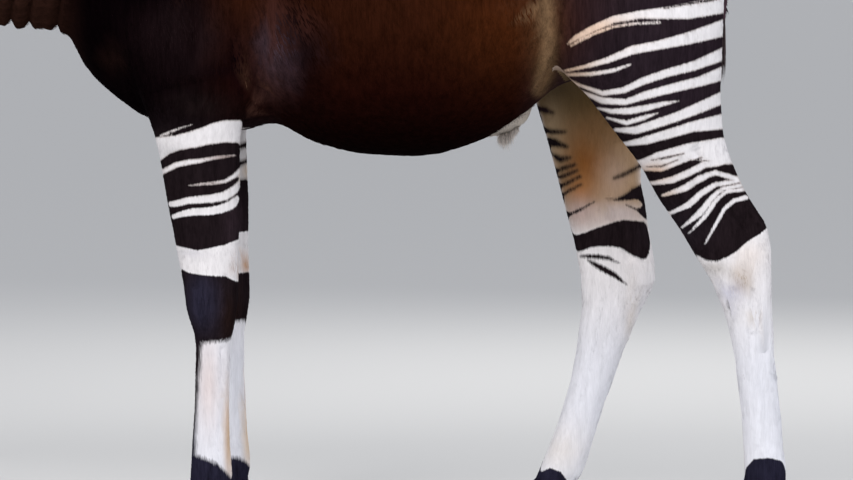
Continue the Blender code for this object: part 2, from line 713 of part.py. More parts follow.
def make_ossicone(side, word):
    """A short horn of bone, its tip worn bare."""
    frame = head_frame()
    root = on_head(OSSICONE_PLACE, side)
    along, out, up = OSSICONE_POINTS
    direction = (frame.to_3x3() @ Vector((along, -side * out, up))).normalized()
    first = direction.orthogonal().normalized()
    second = direction.cross(first)
    rings = []
    for height, radius in OSSICONE:
        ring = []
        for k in range(14):
            angle = 2 * math.pi * k / 14
            outward = first * math.cos(angle) + second * math.sin(angle)
            ring.append(root + direction * height + outward * radius)
        rings.append(ring)
    return mesh_object("ossicone_" + word, rings)


def make_tail():
    """A thin tail with a tuft at its end."""
    rings = []
    points = [Vector(p) for p, r in TAIL]
    for k, (point, radius) in enumerate(TAIL):
        run = (points[min(k + 1, len(points) - 1)] - points[max(k - 1, 0)]).normalized()
        side = Vector((0.0, 1.0, 0.0))
        up = run.cross(side)
        ring = []
        for j in range(10):
            angle = 2 * math.pi * j / 10
            ring.append(points[k] + (side * math.cos(angle) + up * math.sin(angle)) * radius)
        rings.append(ring)
    tail = mesh_object("tail", rings)
    for k in range(TAIL_LOCKS):
        turn = 2.399 * k + 0.3
        spread = 0.04 + 0.08 * (k % 3) / 2
        root = Vector((0.938, 0.0, 0.962 - 0.006 * (k % 5)))
        root += Vector((math.cos(turn), math.sin(turn), 0.0)) * 0.003
        direction = (math.cos(turn) * spread - 0.11, math.sin(turn) * spread, -1.0)
        length = 0.075 + 0.010 * (k % 4)
        boolean(tail, lock("lock", root, direction, length, 0.009, 0.0036, 0.06, turn), "UNION")
    return tail


def make_sheath():
    """The low pad ahead of the hind legs with its pale tuft."""
    centre, radii = BELLY_PAD
    frame = Matrix.Translation(centre) @ Matrix.Rotation(-BELLY_SLOPE, 4, "Y")
    pad = ball("sheath", (0, 0, 0), radii, frame, fineness=2)
    for k, (along, off, direction, length) in enumerate(BELLY_LOCKS):
        root = frame @ Vector((along, off, -0.009))
        boolean(pad, lock("lock", root, direction, length, 0.013, 0.004, 0.10, 1.3 * k), "UNION")
    return pad


def make_claw(name, toe, heel, middle_y, outward):
    """One half of a cloven hoof, flat below and against its fellow."""
    rings = []
    length = heel - toe
    for height, flare in ((0.0, 0.985), (0.006, 1.0), (0.030, 0.97), (0.078, 0.88)):
        front = toe + HOOF_TOE_SLOPE * height
        back = heel - HOOF_HEEL_SLOPE * height
        ring = []
        for share, wide in CLAW_OUTLINE:
            x = front + (back - front) * share
            ring.append((x, CLEFT / 2 + HOOF_WIDTH * wide * flare, height))
        for share, inset in ((1.0, 0.0035), (0.92, 0.0), (0.5, 0.0), (0.10, 0.0), (0.0, 0.0015)):
            x = front + (back - front) * share
            ring.append((x, CLEFT / 2 + inset, height))
        rings.append(ring)
    claw = mesh_object(name, rings)
    pivot = Vector((toe + length, 0.0, 0.0))
    turn = Matrix.Rotation(-HOOF_TURN, 4, "Z")
    place = Matrix.Translation(pivot) @ turn @ Matrix.Translation(-pivot)
    claw.data.transform(place)
    claw.data.transform(Matrix.Translation((0.0, middle_y, 0.0)) @ Matrix.Diagonal((1.0, outward, 1.0, 1.0)))
    return claw


def make_hooves(nodes):
    """Eight claws on the floor, each cut off just under its leg."""
    for foot, (toe, heel, middle_y) in FEET.items():
        side = LEFT if "left" in foot else RIGHT
        for outward, word in ((side, "outer"), (-side, "inner")):
            claw = make_claw("hoof_" + foot + "_" + word, toe, heel, middle_y, outward)
            point, normal = coronet_plane(foot)
            boolean(claw, half_space("above", point, normal, GAP / 2), "DIFFERENCE")
            nodes.append(claw)


def coronet_plane(foot):
    """The slanting plane where hoof and hair meet, with its normal pointing up."""
    toe, heel, middle_y = FEET[foot]
    front_z, back_z = CORONET
    front_x, back_x = toe + 0.042, heel - 0.006
    slope = (front_z - back_z) / (back_x - front_x)
    return (front_x, middle_y, front_z), (slope, 0.0, 1.0)


def take_leg(body, pair, word, nodes):
    """Cuts one leg out of the trunk and parts it at its knee or hock and above the hoof."""
    side = LEFT if word == "left" else RIGHT
    if pair == "front":
        (front, back), inner_roof, outer_roof = FORE_CELL
        front_top = front_foot = front
        joint = KNEE_HEIGHT
    else:
        (left_front, right_front), inner_roof, outer_roof = HIND_CELL
        front_top = left_front + 0.02 if side == LEFT else left_front
        front_foot = front_top if side == LEFT else 0.5
        back = 1.3
        joint = HOCK_HEIGHT[word]
    name = "leg_" + pair + "_" + word
    upper = copy_of(body, name + "_upper")
    cell = leg_cell("cell", side, front_top, front_foot, back, inner_roof, outer_roof, 0.0)
    boolean(body, cell, "DIFFERENCE")
    cell = leg_cell("cell", side, front_top, front_foot, back, inner_roof, outer_roof, GAP)
    boolean(upper, cell, "INTERSECT")
    lower = part_along(upper, (0, 0, joint), (0, 0, -1), name + "_lower")
    point, normal = coronet_plane(pair + "_" + word)
    boolean(lower, half_space("below", point, Vector(normal) * -1, GAP / 2), "DIFFERENCE")
    nodes += [upper, lower]


def kind_of(name):
    """Which colour a piece has."""
    kinds = {"eye": "eye", "ossicone": "horn", "hoof": "hoof", "ear": "ear", "sheath": "tuft"}
    for word, kind in kinds.items():
        if name.startswith(word):
            return kind
    if name == "head":
        return "muzzle"
    return "shank" if name.endswith("lower") else "coat"


def finish(nodes):
    """Gives every piece its material, smooth shading and a common parent."""
    materials = {}
    for kind, (red, green, blue, roughness) in COLOURS.items():
        material = bpy.data.materials.new(kind)
        material.use_nodes = True
        shader = material.node_tree.nodes["Principled BSDF"]
        shader.inputs["Base Color"].default_value = (red, green, blue, 1.0)
        shader.inputs["Roughness"].default_value = roughness
        shader.inputs["Metallic"].default_value = 0.0
        material.diffuse_color = (red, green, blue, 1.0)
        materials[kind] = material
    animal = bpy.data.objects.new("okapi", None)
    bpy.context.scene.collection.objects.link(animal)
    for node in nodes:
        node.data.materials.clear()
        node.data.materials.append(materials[kind_of(node.name)])
        node.data.shade_smooth()
        node.data.set_sharp_from_angle(angle=math.radians(50))
        node.parent = animal


def place_model(nodes):
    """Puts the middle of the model's base at the origin."""
    points = np.concatenate([np.array([v.co for v in node.data.vertices]) for node in nodes])
    low, high = points.min(axis=0), points.max(axis=0)
    shift = Matrix.Translation((-(low[0] + high[0]) / 2, -(low[1] + high[1]) / 2, -low[2]))
    for node in nodes:
        node.data.transform(shift)
    print("model size", (high - low).round(4), "moved by", [round(c, 5) for c in shift.translation])


def main():
    clear_scene()
    shapes = body_shapes() + [neck_shape()] + head_shapes()
    body = skin_over("torso", shapes, VOXEL, BODY_FACETS, TRUNK_ROUNDS)
    head = skin_over("head", head_shapes() + [neck_shape()], HEAD_VOXEL, HEAD_FACETS)
    boolean(head, half_space("front", *HEAD_CUT, -GAP / 2), "INTERSECT")
    boolean(body, half_space("front", *HEAD_CUT, GAP / 2), "DIFFERENCE")
    neck = part_along(body, *NECK_CUT, "neck")
    nodes = []
    for pair in ("front", "hind"):
        for word in ("left", "right"):
            take_leg(body, pair, word, nodes)
    make_hooves(nodes)
    make_head(head, nodes)
    for piece in (make_tail(), make_sheath()):
        boolean(body, grow(copy_of(piece, "seat"), GAP), "DIFFERENCE")
        nodes.append(piece)
    nodes += [body, neck, head]
    for node in nodes:
        keep_largest(node)
    place_model(nodes)
    finish(nodes)
    total = 0
    for node in nodes:
        total += len(node.data.polygons)
        print(node.name, len(node.data.polygons))
    print("facets in all", total)


main()
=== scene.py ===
# %% [markdown]
# An okapi at life size, as a museum would show it. The packed solids give every place and size, and this
# notebook gives them their looks. The first cell loads the solids.

# %% Loading the solids
import math

import bmesh
import bpy
import numpy as np
from mathutils import Matrix, Vector
from mathutils.bvhtree import BVHTree


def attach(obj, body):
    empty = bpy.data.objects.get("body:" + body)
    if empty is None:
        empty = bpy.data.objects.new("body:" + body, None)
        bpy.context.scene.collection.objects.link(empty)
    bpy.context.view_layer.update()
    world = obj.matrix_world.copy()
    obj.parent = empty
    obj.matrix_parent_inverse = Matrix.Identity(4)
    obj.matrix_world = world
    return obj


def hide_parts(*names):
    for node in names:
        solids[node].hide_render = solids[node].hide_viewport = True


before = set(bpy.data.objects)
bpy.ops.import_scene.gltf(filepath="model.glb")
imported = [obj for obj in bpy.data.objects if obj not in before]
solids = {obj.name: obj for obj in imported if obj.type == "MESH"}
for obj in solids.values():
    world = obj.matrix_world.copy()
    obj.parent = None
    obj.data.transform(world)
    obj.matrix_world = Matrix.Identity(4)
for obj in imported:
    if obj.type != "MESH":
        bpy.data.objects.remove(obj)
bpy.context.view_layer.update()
scene = bpy.context.scene

# %% [markdown]
# The camera stands beside the animal, a little below the height of its back, and looks slightly down. A long
# lens from eight metres keeps the near and the far legs almost the same size, as in the photograph. The lens
# is worked out from a focal length in pixels of a picture 853 pixels wide.

# %% Camera
PICTURE = (853, 480)
FOCAL_PIXELS = 4400
HORIZON_ABOVE = 256  # pixels from the middle of the picture up to the horizon
LOOKS_DOWN = math.atan(HORIZON_ABOVE / FOCAL_PIXELS)
CAMERA_PLACE = (0.4509, -8.13, 1.02)

lens = bpy.data.cameras.new("camera")
lens.sensor_width = 36.0
lens.lens = lens.sensor_width * FOCAL_PIXELS / PICTURE[0]
lens.clip_end = 400.0
camera = bpy.data.objects.new("camera", lens)
camera.location = CAMERA_PLACE
camera.rotation_euler = (math.radians(90) - LOOKS_DOWN, 0.0, 0.0)
scene.collection.objects.link(camera)
scene.camera = camera
print("lens", round(lens.lens, 1), "mm")

# %% [markdown]
# The floor is one wide pale sheet. It reaches far behind the animal, so that it fills the whole picture and
# no edge shows.

# %% Floor
FLOOR_REACH = 300.0


def new_material(name, colour=(0.5, 0.5, 0.5), roughness=0.6):
    """A material with its shader, ready for nodes."""
    material = bpy.data.materials.new(name)
    material.use_nodes = True
    shader = material.node_tree.nodes["Principled BSDF"]
    shader.inputs["Base Color"].default_value = (*colour, 1.0)
    shader.inputs["Roughness"].default_value = roughness
    return material, shader


def add_object(name, mesh, material=None):
    """Puts a mesh into the scene with its material."""
    obj = bpy.data.objects.new(name, mesh)
    scene.collection.objects.link(obj)
    if material:
        mesh.materials.clear()
        mesh.materials.append(material)
    return obj


floor_material, _ = new_material("floor", (0.56, 0.56, 0.56), 0.9)
floor_mesh = bpy.data.meshes.new("floor")
corners = [(right * FLOOR_REACH, back * FLOOR_REACH, 0) for right, back in ((-1, -1), (1, -1), (1, 1), (-1, 1))]
floor_mesh.from_pydata(corners, [], [(0, 1, 2, 3)])
add_object("floor", floor_mesh, floor_material)
print("floor", 2 * FLOOR_REACH, "m wide")

# %% [markdown]
# Soft daylight comes from a pale sky all round. One large lamp stands high at the front left, as the sun
# behind thin cloud would, and two weaker ones open up the shadows under the belly and along the back.

# %% Light
SKY_COLOUR = (0.93, 0.95, 1.0, 1.0)
SKY_STRENGTH = 0.76
# Name, place, size, power, colour
LAMPS = [
    ("key", (-1.4, -4.4, 4.2), 1.8, 150.0, (1.0, 0.97, 0.94)),
    ("fill", (3.8, -3.6, 2.2), 2.4, 50.0, (0.92, 0.95, 1.0)),
    ("rim", (1.6, 4.2, 3.4), 2.0, 90.0, (1.0, 0.98, 0.94)),
]
AIM = Vector((0.2, 0.0, 0.8))

world = bpy.data.worlds.new("sky")
scene.world = world
world.use_nodes = True
sky = world.node_tree.nodes["Background"]
sky.inputs["Color"].default_value = SKY_COLOUR
sky.inputs["Strength"].default_value = SKY_STRENGTH
for name, place, size, power, colour in LAMPS:
    light = bpy.data.lights.new(name, "AREA")
    light.shape = "DISK"
    light.size = size
    light.energy = power
    light.color = colour
    lamp = bpy.data.objects.new(name, light)
    lamp.location = place
    lamp.rotation_euler = (AIM - lamp.location).to_track_quat("-Z", "Y").to_euler()
    lamp.visible_camera = False
    scene.collection.objects.link(lamp)
scene.view_settings.view_transform = "Standard"
print("lamps", len(LAMPS))

# %% [markdown]
# The flesh is one skin. The solids are parted at the neck, the knees and the roots of the legs, and those
# cuts must not show. So copies of them are grown by 0.6 mm, which closes the cuts, and fused by a voxel
# remesh. First come a few short ways to read and write a whole mesh at once.

# %% Meshes as arrays


def coordinates(mesh, kind="co"):
    """All points or normals of a mesh as an array."""
    values = np.empty(len(mesh.vertices) * 3, np.float32)
    mesh.vertices.foreach_get(kind, values)
    return values.reshape(-1, 3).astype(float)


def set_coordinates(mesh, points):
    """Puts an array of points back into a mesh."""
    mesh.vertices.foreach_set("co", points.astype(np.float32).ravel())
    mesh.update()


def unit(ways):
    """The same directions, one to a row, each with length 1."""
    return ways / np.linalg.norm(ways, axis=1)[:, None]


def apply_modifiers(obj):
    """Turns modifiers into plain mesh."""
    graph = bpy.context.evaluated_depsgraph_get()
    graph.update()
    mesh = bpy.data.meshes.new_from_object(obj.evaluated_get(graph))
    obj.modifiers.clear()
    obj.data = mesh
    return obj


def mesh_from(shape, name):
    """A smooth mesh from a bmesh, which is then done with."""
    mesh = bpy.data.meshes.new(name)
    shape.to_mesh(mesh)
    shape.free()
    mesh.shade_smooth()
    return mesh


print("the torso's solid has", len(coordinates(solids["torso"].data)), "points")

# %% [markdown]
# The tail's solid is part of the torso and the belly's pad ends in hair. Both are shaped afresh here without
# hair: the tail is a tube through rings down its middle line, and the pad is a stretched ball.

# %% Fusing the flesh
SIDES = (("left", -1), ("right", 1))
LEG_PARTS = [f"{pair}_{side}_{part}" for pair in ("front", "hind") for side, _ in SIDES for part in ("upper", "lower")]
FLESH = ["torso", "neck", "head", "ear_left", "ear_right", *("leg_" + part for part in LEG_PARTS)]
CLOSING = 0.0006
VOXEL = 0.003
ORIGIN = Vector((0.05896, 0.0, 0.0))  # where the drawing's own origin lies in the row's frame
# Down the middle of the tail: x, z and radius
TAIL = [
    (0.872, 1.3, 0.023), (0.912, 1.29, 0.0215), (0.94, 1.262, 0.0185), (0.954, 1.215, 0.016), (0.956, 1.15, 0.0135),
    (0.95, 1.08, 0.0115), (0.942, 1.015, 0.0095), (0.938, 0.96, 0.0075), (0.936, 0.925, 0.004),
]
BELLY_PAD = ((0.548, 0.0, 0.768), (0.046, 0.019, 0.02), math.radians(34))  # middle, half sizes, slope


def add_tube(shape, rings):
    """Adds a closed tube through rings of points to a bmesh."""
    rows = [[shape.verts.new(point) for point in ring] for ring in rings]
    sides = len(rings[0])
    made = []
    for low, high in zip(rows, rows[1:]):
        for k in range(sides):
            j = (k + 1) % sides
            made.append(shape.faces.new((low[k], low[j], high[j], high[k])))
    made.append(shape.faces.new(reversed(rows[0])))
    made.append(shape.faces.new(rows[-1]))
    bmesh.ops.recalc_face_normals(shape, faces=made)


def tail_rings(sides=16):
    """Rings of points down the tail."""
    rings = []
    for k, (x, z, radius) in enumerate(TAIL):
        before, after = TAIL[max(k - 1, 0)], TAIL[min(k + 1, len(TAIL) - 1)]
        run = Vector((after[0] - before[0], 0.0, after[1] - before[1])).normalized()
        up = run.cross(Vector((0.0, 1.0, 0.0)))
        middle, out = ORIGIN + Vector((x, 0.0, z)), Vector((0.0, 1.0, 0.0))
        turns = [2 * math.pi * j / sides for j in range(sides)]
        rings.append([middle + out * (math.cos(t) * radius) + up * (math.sin(t) * radius) for t in turns])
    return rings


def fused_flesh():
    """Copies of the flesh, tail and belly pad as one closed skin."""
    shape = bmesh.new()
    for name in FLESH:
        mesh = solids[name].data.copy()
        set_coordinates(mesh, coordinates(mesh) + coordinates(mesh, "normal") * CLOSING)
        shape.from_mesh(mesh)
        bpy.data.meshes.remove(mesh)
    add_tube(shape, tail_rings())
    place, radii, slope = BELLY_PAD
    at = Matrix.Translation(ORIGIN + Vector(place)) @ Matrix.Rotation(-slope, 4, "Y")
    bmesh.ops.create_icosphere(shape, subdivisions=4, radius=1.0, matrix=at @ Matrix.Diagonal((*radii, 1.0)))
    obj = add_object("skin", mesh_from(shape, "skin"))
    fuse = obj.modifiers.new("fuse", "REMESH")
    fuse.mode = "VOXEL"
    fuse.voxel_size = VOXEL
    return apply_modifiers(obj)


skin = fused_flesh()
print("fused skin", len(skin.data.vertices), "points")

# %% [markdown]
# The solids are faceted, and a skin has no facets. Many rounds of smoothing take them off. The trunk can bear
# the most; the thin legs less, or they would shrink; and the ears, eyes and muzzle hardly any. A vertex group
# tells the modifier how much each place gets. The head has its own axes: along it to the nose, out to its
# side, and up.

# %% Smoothing
HEAD_PITCH = math.radians(31)
HEAD_ORIGIN = ORIGIN + Vector((-0.755, 0.0, 1.195))
ALONG_HEAD = Vector((-math.cos(HEAD_PITCH), 0.0, -math.sin(HEAD_PITCH)))
UP_HEAD = Vector((-math.sin(HEAD_PITCH), 0.0, math.cos(HEAD_PITCH)))
SMOOTHING_ROUNDS = 90


def step(low, high, value):
    """Runs smoothly from 0 at low to 1 at high."""
    share = np.clip((value - low) / (high - low), 0.0, 1.0)
    return share * share * (3 - 2 * share)


def bell(value, width):
    """1 in the middle, fading to nothing over a few widths."""
    return np.exp(-((value / width) ** 2))


def in_head(points):
    """Places along the head, out from its mid-plane and up, for each point."""
    offset = points - np.array(HEAD_ORIGIN)
    return offset @ np.array(ALONG_HEAD), np.abs(points[:, 1]), offset @ np.array(UP_HEAD)


def on_head(place, side):
    """The point at a place (along, out, up) on one side of the head."""
    along, out, up = place
    return HEAD_ORIGIN + ALONG_HEAD * along + Vector((0.0, side * out, 0.0)) + UP_HEAD * up


def trunk_share(points):
    """1 on the trunk, falling to 0 on the legs and past the throat."""
    x, y, z = points.T
    level = 0.8 + 0.06 * step(0.45, 0.75, x)
    share = step(level, level + 0.14, z) * step(-0.6, -0.45, x)
    return share * (1 - step(-0.1, -0.02, in_head(points)[0]))


def head_share(points):
    """1 on the head and ears, 0 behind the throat."""
    along, out, up = in_head(points)
    return np.maximum(step(-0.07, -0.01, along) * (up > -0.25), ear_share(points))


def ear_share(points):
    """1 on the ears."""
    x, y, z = points.T
    return step(1.21, 1.24, z) * step(0.05, 0.07, np.abs(y)) * step(-0.45, -0.55, x)


def tail_share(points):
    """1 on the tail that hangs free of the rump."""
    x, y, z = points.T
    return step(0.965, 0.985, x) * step(1.28, 1.2, z) * step(0.04, 0.02, np.abs(y))


def add_weights(obj, name, share, levels):
    """A vertex group whose weights follow a share, in so many levels."""
    group = obj.vertex_groups.new(name=name)
    for level in range(1, levels + 1):
        chosen = np.nonzero(np.round(share * levels) == level)[0]
        group.add(chosen.tolist(), level / levels, "REPLACE")


def smooth_skin(obj):
    """Rounds of smoothing, each region by its own share."""
    points = coordinates(obj.data)
    head = head_share(points)
    share = np.maximum(trunk_share(points), 0.42) * (1 - head) + 0.1 * head
    along, out, up = in_head(points)
    share = np.maximum(share, 0.55 * head * step(0.39, 0.42, along) * step(-0.03, -0.045, up))
    tail = tail_share(points)
    share = share * (1 - tail) + 0.15 * tail
    add_weights(obj, "smooth", share, 20)
    modifier = obj.modifiers.new("smooth", "SMOOTH")
    modifier.factor = 0.5
    modifier.iterations = SMOOTHING_ROUNDS
    modifier.vertex_group = "smooth"
    apply_modifiers(obj)
    obj.vertex_groups.clear()


smooth_skin(skin)
print("skin smoothed,", SMOOTHING_ROUNDS, "rounds")

# %% [markdown]
# The folds and hollows are pushed into the skin along its normals. Each one follows a line that was read
# off the photograph in its own pixels, and a sight line from the camera carries each pixel onto an upright
# plane beside the animal. A bell-shaped ridge or hollow along that line then lifts or lowers the skin.

# %% From the photograph to the animal
PIXEL = 1 / 550  # metres to a pixel of the photograph, at the near legs


def seen_at(px, py, y):
    """Where the sight line through a point of the photograph meets the upright plane at y: its x and z."""
    right = (px - PICTURE[0] / 2) / FOCAL_PIXELS
    up = (PICTURE[1] / 2 - py) / FOCAL_PIXELS
    level = math.cos(LOOKS_DOWN) + up * math.sin(LOOKS_DOWN)
    rise = -math.sin(LOOKS_DOWN) + up * math.cos(LOOKS_DOWN)
    far = (y - CAMERA_PLACE[1]) / level
    return CAMERA_PLACE[0] + far * right, CAMERA_PLACE[2] + far * rise


def traced(line, y):
    """A line of (pixel x, pixel y, width in pixels) as places and half widths in metres."""
    places = []
    for px, py, *width in line:
        level = np.interp(py, *y) if isinstance(y, tuple) else y
        places.append((*seen_at(px, py, level), (width[0] if width else 0.0) * PIXEL / 2))
    return np.array(places)


def inside_stroke(x, z, stroke):
    """How far inside a stroke each place lies, in metres. Outside it is less than nothing."""
    deepest = np.full(len(x), -1.0)
    for (x0, z0, r0), (x1, z1, r1) in zip(stroke, stroke[1:]):
        run_x, run_z = x1 - x0, z1 - z0
        share = np.clip(((x - x0) * run_x + (z - z0) * run_z) / (run_x**2 + run_z**2), 0.0, 1.0)
        gap = np.hypot(x - x0 - share * run_x, z - z0 - share * run_z)
        deepest = np.maximum(deepest, r0 + (r1 - r0) * share - gap)
    return deepest


def under_line(x, z, line):
    """How far under a line each place lies, in metres."""
    line = line[np.argsort(line[:, 0])]
    return np.interp(x, line[:, 0], line[:, 1]) - z


print("the picture's middle shows x and z of", [round(c, 3) for c in seen_at(PICTURE[0] / 2, PICTURE[1] / 2, 0.0)])

# %% [markdown]
# These are the folds. The neck is lowered, so its underside hangs in upright folds. Behind the upper arm the
# skin dips, and it wrinkles at the elbow. A fold of skin runs from the knee of the hind leg to the belly. On
# the hind leg a hollow parts the great tendon from the shin, and tendons stand out along the cannons.

# %% Folds and hollows
TRUNK_Y, ARM_Y, THIGH_Y, SHIN_Y = -0.26, -0.2, -0.22, -0.15  # upright planes on the near side
# Line in pixels, its plane, height in metres (a hollow is less than nothing), breadth in metres
RELIEF = [
    ([(268, -40), (263, 20), (262, 70), (268, 112)], TRUNK_Y, -0.011, 0.012),
    ([(248, -30), (246, 20), (243, 70), (241, 100)], ARM_Y, 0.006, 0.016),
    ([(243, 82), (247, 92), (245, 104)], ARM_Y, 0.005, 0.006),
    ([(250, 78), (257, 92), (270, 103)], ARM_Y, -0.004, 0.004),
    ([(248, 92), (256, 104), (268, 112)], ARM_Y, 0.004, 0.004),
    ([(252, 70), (264, 84), (280, 96)], TRUNK_Y, 0.004, 0.006),
    ([(160, 90), (190, 84), (225, 76)], ARM_Y, -0.004, 0.012),
    ([(522, 108), (538, 84), (551, 52), (556, 18), (556, -30)], TRUNK_Y, 0.009, 0.011),
    ([(548, 86), (562, 60), (570, 20), (572, -20)], THIGH_Y, -0.008, 0.012),
    ([(590, 60), (604, 96), (628, 130)], THIGH_Y, 0.005, 0.02),
    ([(655, 110), (668, 150), (690, 190)], THIGH_Y, -0.004, 0.016),
    ([(696, 150), (712, 182), (728, 206), (742, 226)], SHIN_Y, -0.0065, 0.0075),
    ([(722, 170), (740, 195), (757, 222)], SHIN_Y, 0.003, 0.008),
    ([(752, 290), (760, 340), (768, 420), (772, 450)], SHIN_Y, -0.0032, 0.005),
    ([(736, 270), (742, 300), (748, 360)], SHIN_Y, 0.0018, 0.007),
    ([(222, 350), (221, 400), (220, 450)], SHIN_Y, -0.0032, 0.005),
    ([(196, 292), (200, 316), (203, 336)], SHIN_Y, 0.0025, 0.008),
    ([(226, 296), (228, 318), (226, 338)], SHIN_Y, 0.0035, 0.007),
    ([(212, 300), (213, 330)], SHIN_Y, -0.0015, 0.006),
]
FAR_RELIEF = [
    ([(606, 190), (618, 225), (630, 258)], 0.08, -0.0055, 0.0075),
    ([(604, 300), (596, 350), (578, 420), (570, 450)], 0.08, -0.003, 0.005),
]
# Folds under the neck: pixel x of each crease at its lower edge, and its depth in metres
NECK_CREASES = [(-64, 0.006), (-39, 0.009), (-17, 0.008), (17, 0.011), (36, 0.012), (64, 0.01)]
CREASE_BREADTH, FOLD_SWELL = 0.0052, 0.004
MOUTH = [(0.478, -0.024), (0.44, -0.0285), (0.4, -0.0305), (0.365, -0.0285), (0.35, -0.025)]
# On the head: line of (along, up), least distance from the mid-plane, height, breadth
HEAD_RELIEF = [
    ([(0.146, 0.053), (0.156, 0.0625), (0.17, 0.066), (0.184, 0.063), (0.197, 0.052)], 0.03, -0.003, 0.0032),
    ([(0.15, 0.025), (0.162, 0.018), (0.176, 0.018), (0.19, 0.025)], 0.03, -0.0022, 0.003),
    ([(0.197, 0.033), (0.214, 0.02), (0.236, 0.008)], 0.028, -0.0032, 0.0045),
    ([(0.205, 0.036), (0.24, 0.021), (0.29, 0.008)], 0.02, 0.0022, 0.007),
    ([(0.06, -0.04), (0.085, -0.072), (0.14, -0.082), (0.2, -0.072)], 0.015, -0.004, 0.012),
    (MOUTH, 0.0, -0.004, 0.0026),
    ([(0.35, -0.02), (0.343, -0.027), (0.346, -0.034)], 0.005, -0.002, 0.0035),
    ([(0.428, 0.01), (0.438, 0.017), (0.454, 0.0165), (0.466, 0.008)], 0.008, 0.0024, 0.004),
    ([(0.434, -0.001), (0.443, 0.006), (0.455, 0.0068), (0.462, 0.0035)], 0.012, -0.0075, 0.003),
]
COAT_DEPTH = 0.0015


def depth_on_head(along, up, line):
    """How far from a line drawn on the side of the head each place lies, in metres and less than nothing."""
    return inside_stroke(along, up, [(*place, 0.0) for place in line])


def sculpt(obj):
    """Lifts and lowers the skin along its normals."""
    points, normals = coordinates(obj.data), coordinates(obj.data, "normal")
    x, y, z = points.T
    sideways = np.clip(np.abs(normals[:, 1]) * 1.4, 0.0, 1.0)
    height = np.zeros(len(points))
    shin_right = (y > 0) & (z < 0.62) & (x > 0.6)
    for lines, right_only in ((RELIEF, False), (FAR_RELIEF, True)):
        for line, plane, lift, breadth in lines:
            path, far = traced(line, plane), 4 * breadth
            near = (x > path[:, 0].min() - far) & (x < path[:, 0].max() + far)
            near &= (z > path[:, 1].min() - far) & (z < path[:, 1].max() + far)
            near &= shin_right if right_only else ~shin_right
            depth = inside_stroke(x[near], z[near], path)
            height[near] += lift * bell(depth, breadth) * sideways[near]
    low_neck = step(1.22, 1.0, z) * step(-0.12, -0.2, x) * (1 - step(-0.1, 0.02, in_head(points)[0]))
    for px, depth in NECK_CREASES:
        lean = seen_at(px, 10, 0.0)[0] + 0.22 * (z - 1.0)
        height -= depth * bell(x - lean, CREASE_BREADTH) * low_neck
        for beside in (-2.6, 2.6):
            height += FOLD_SWELL * bell(x - lean - beside * CREASE_BREADTH, 2 * CREASE_BREADTH) * low_neck
    along, out, up = in_head(points)
    for line, least, lift, breadth in HEAD_RELIEF:
        near = (along > 0.0) & (out > least) & (head_share(points) > 0.5)
        height[near] += lift * bell(depth_on_head(along[near], up[near], line), breadth)
    ripple = np.sin(41 * x + 9 * z) * np.sin(33 * z + 5 * x + 2 * y)
    height += 0.0012 * ripple * trunk_share(points)
    height -= COAT_DEPTH
    set_coordinates(obj.data, points + normals * height[:, None])
    return height


lifted = sculpt(skin)
print("folds from", round(lifted.min() * 1000, 1), "to", round(lifted.max() * 1000, 1), "mm")
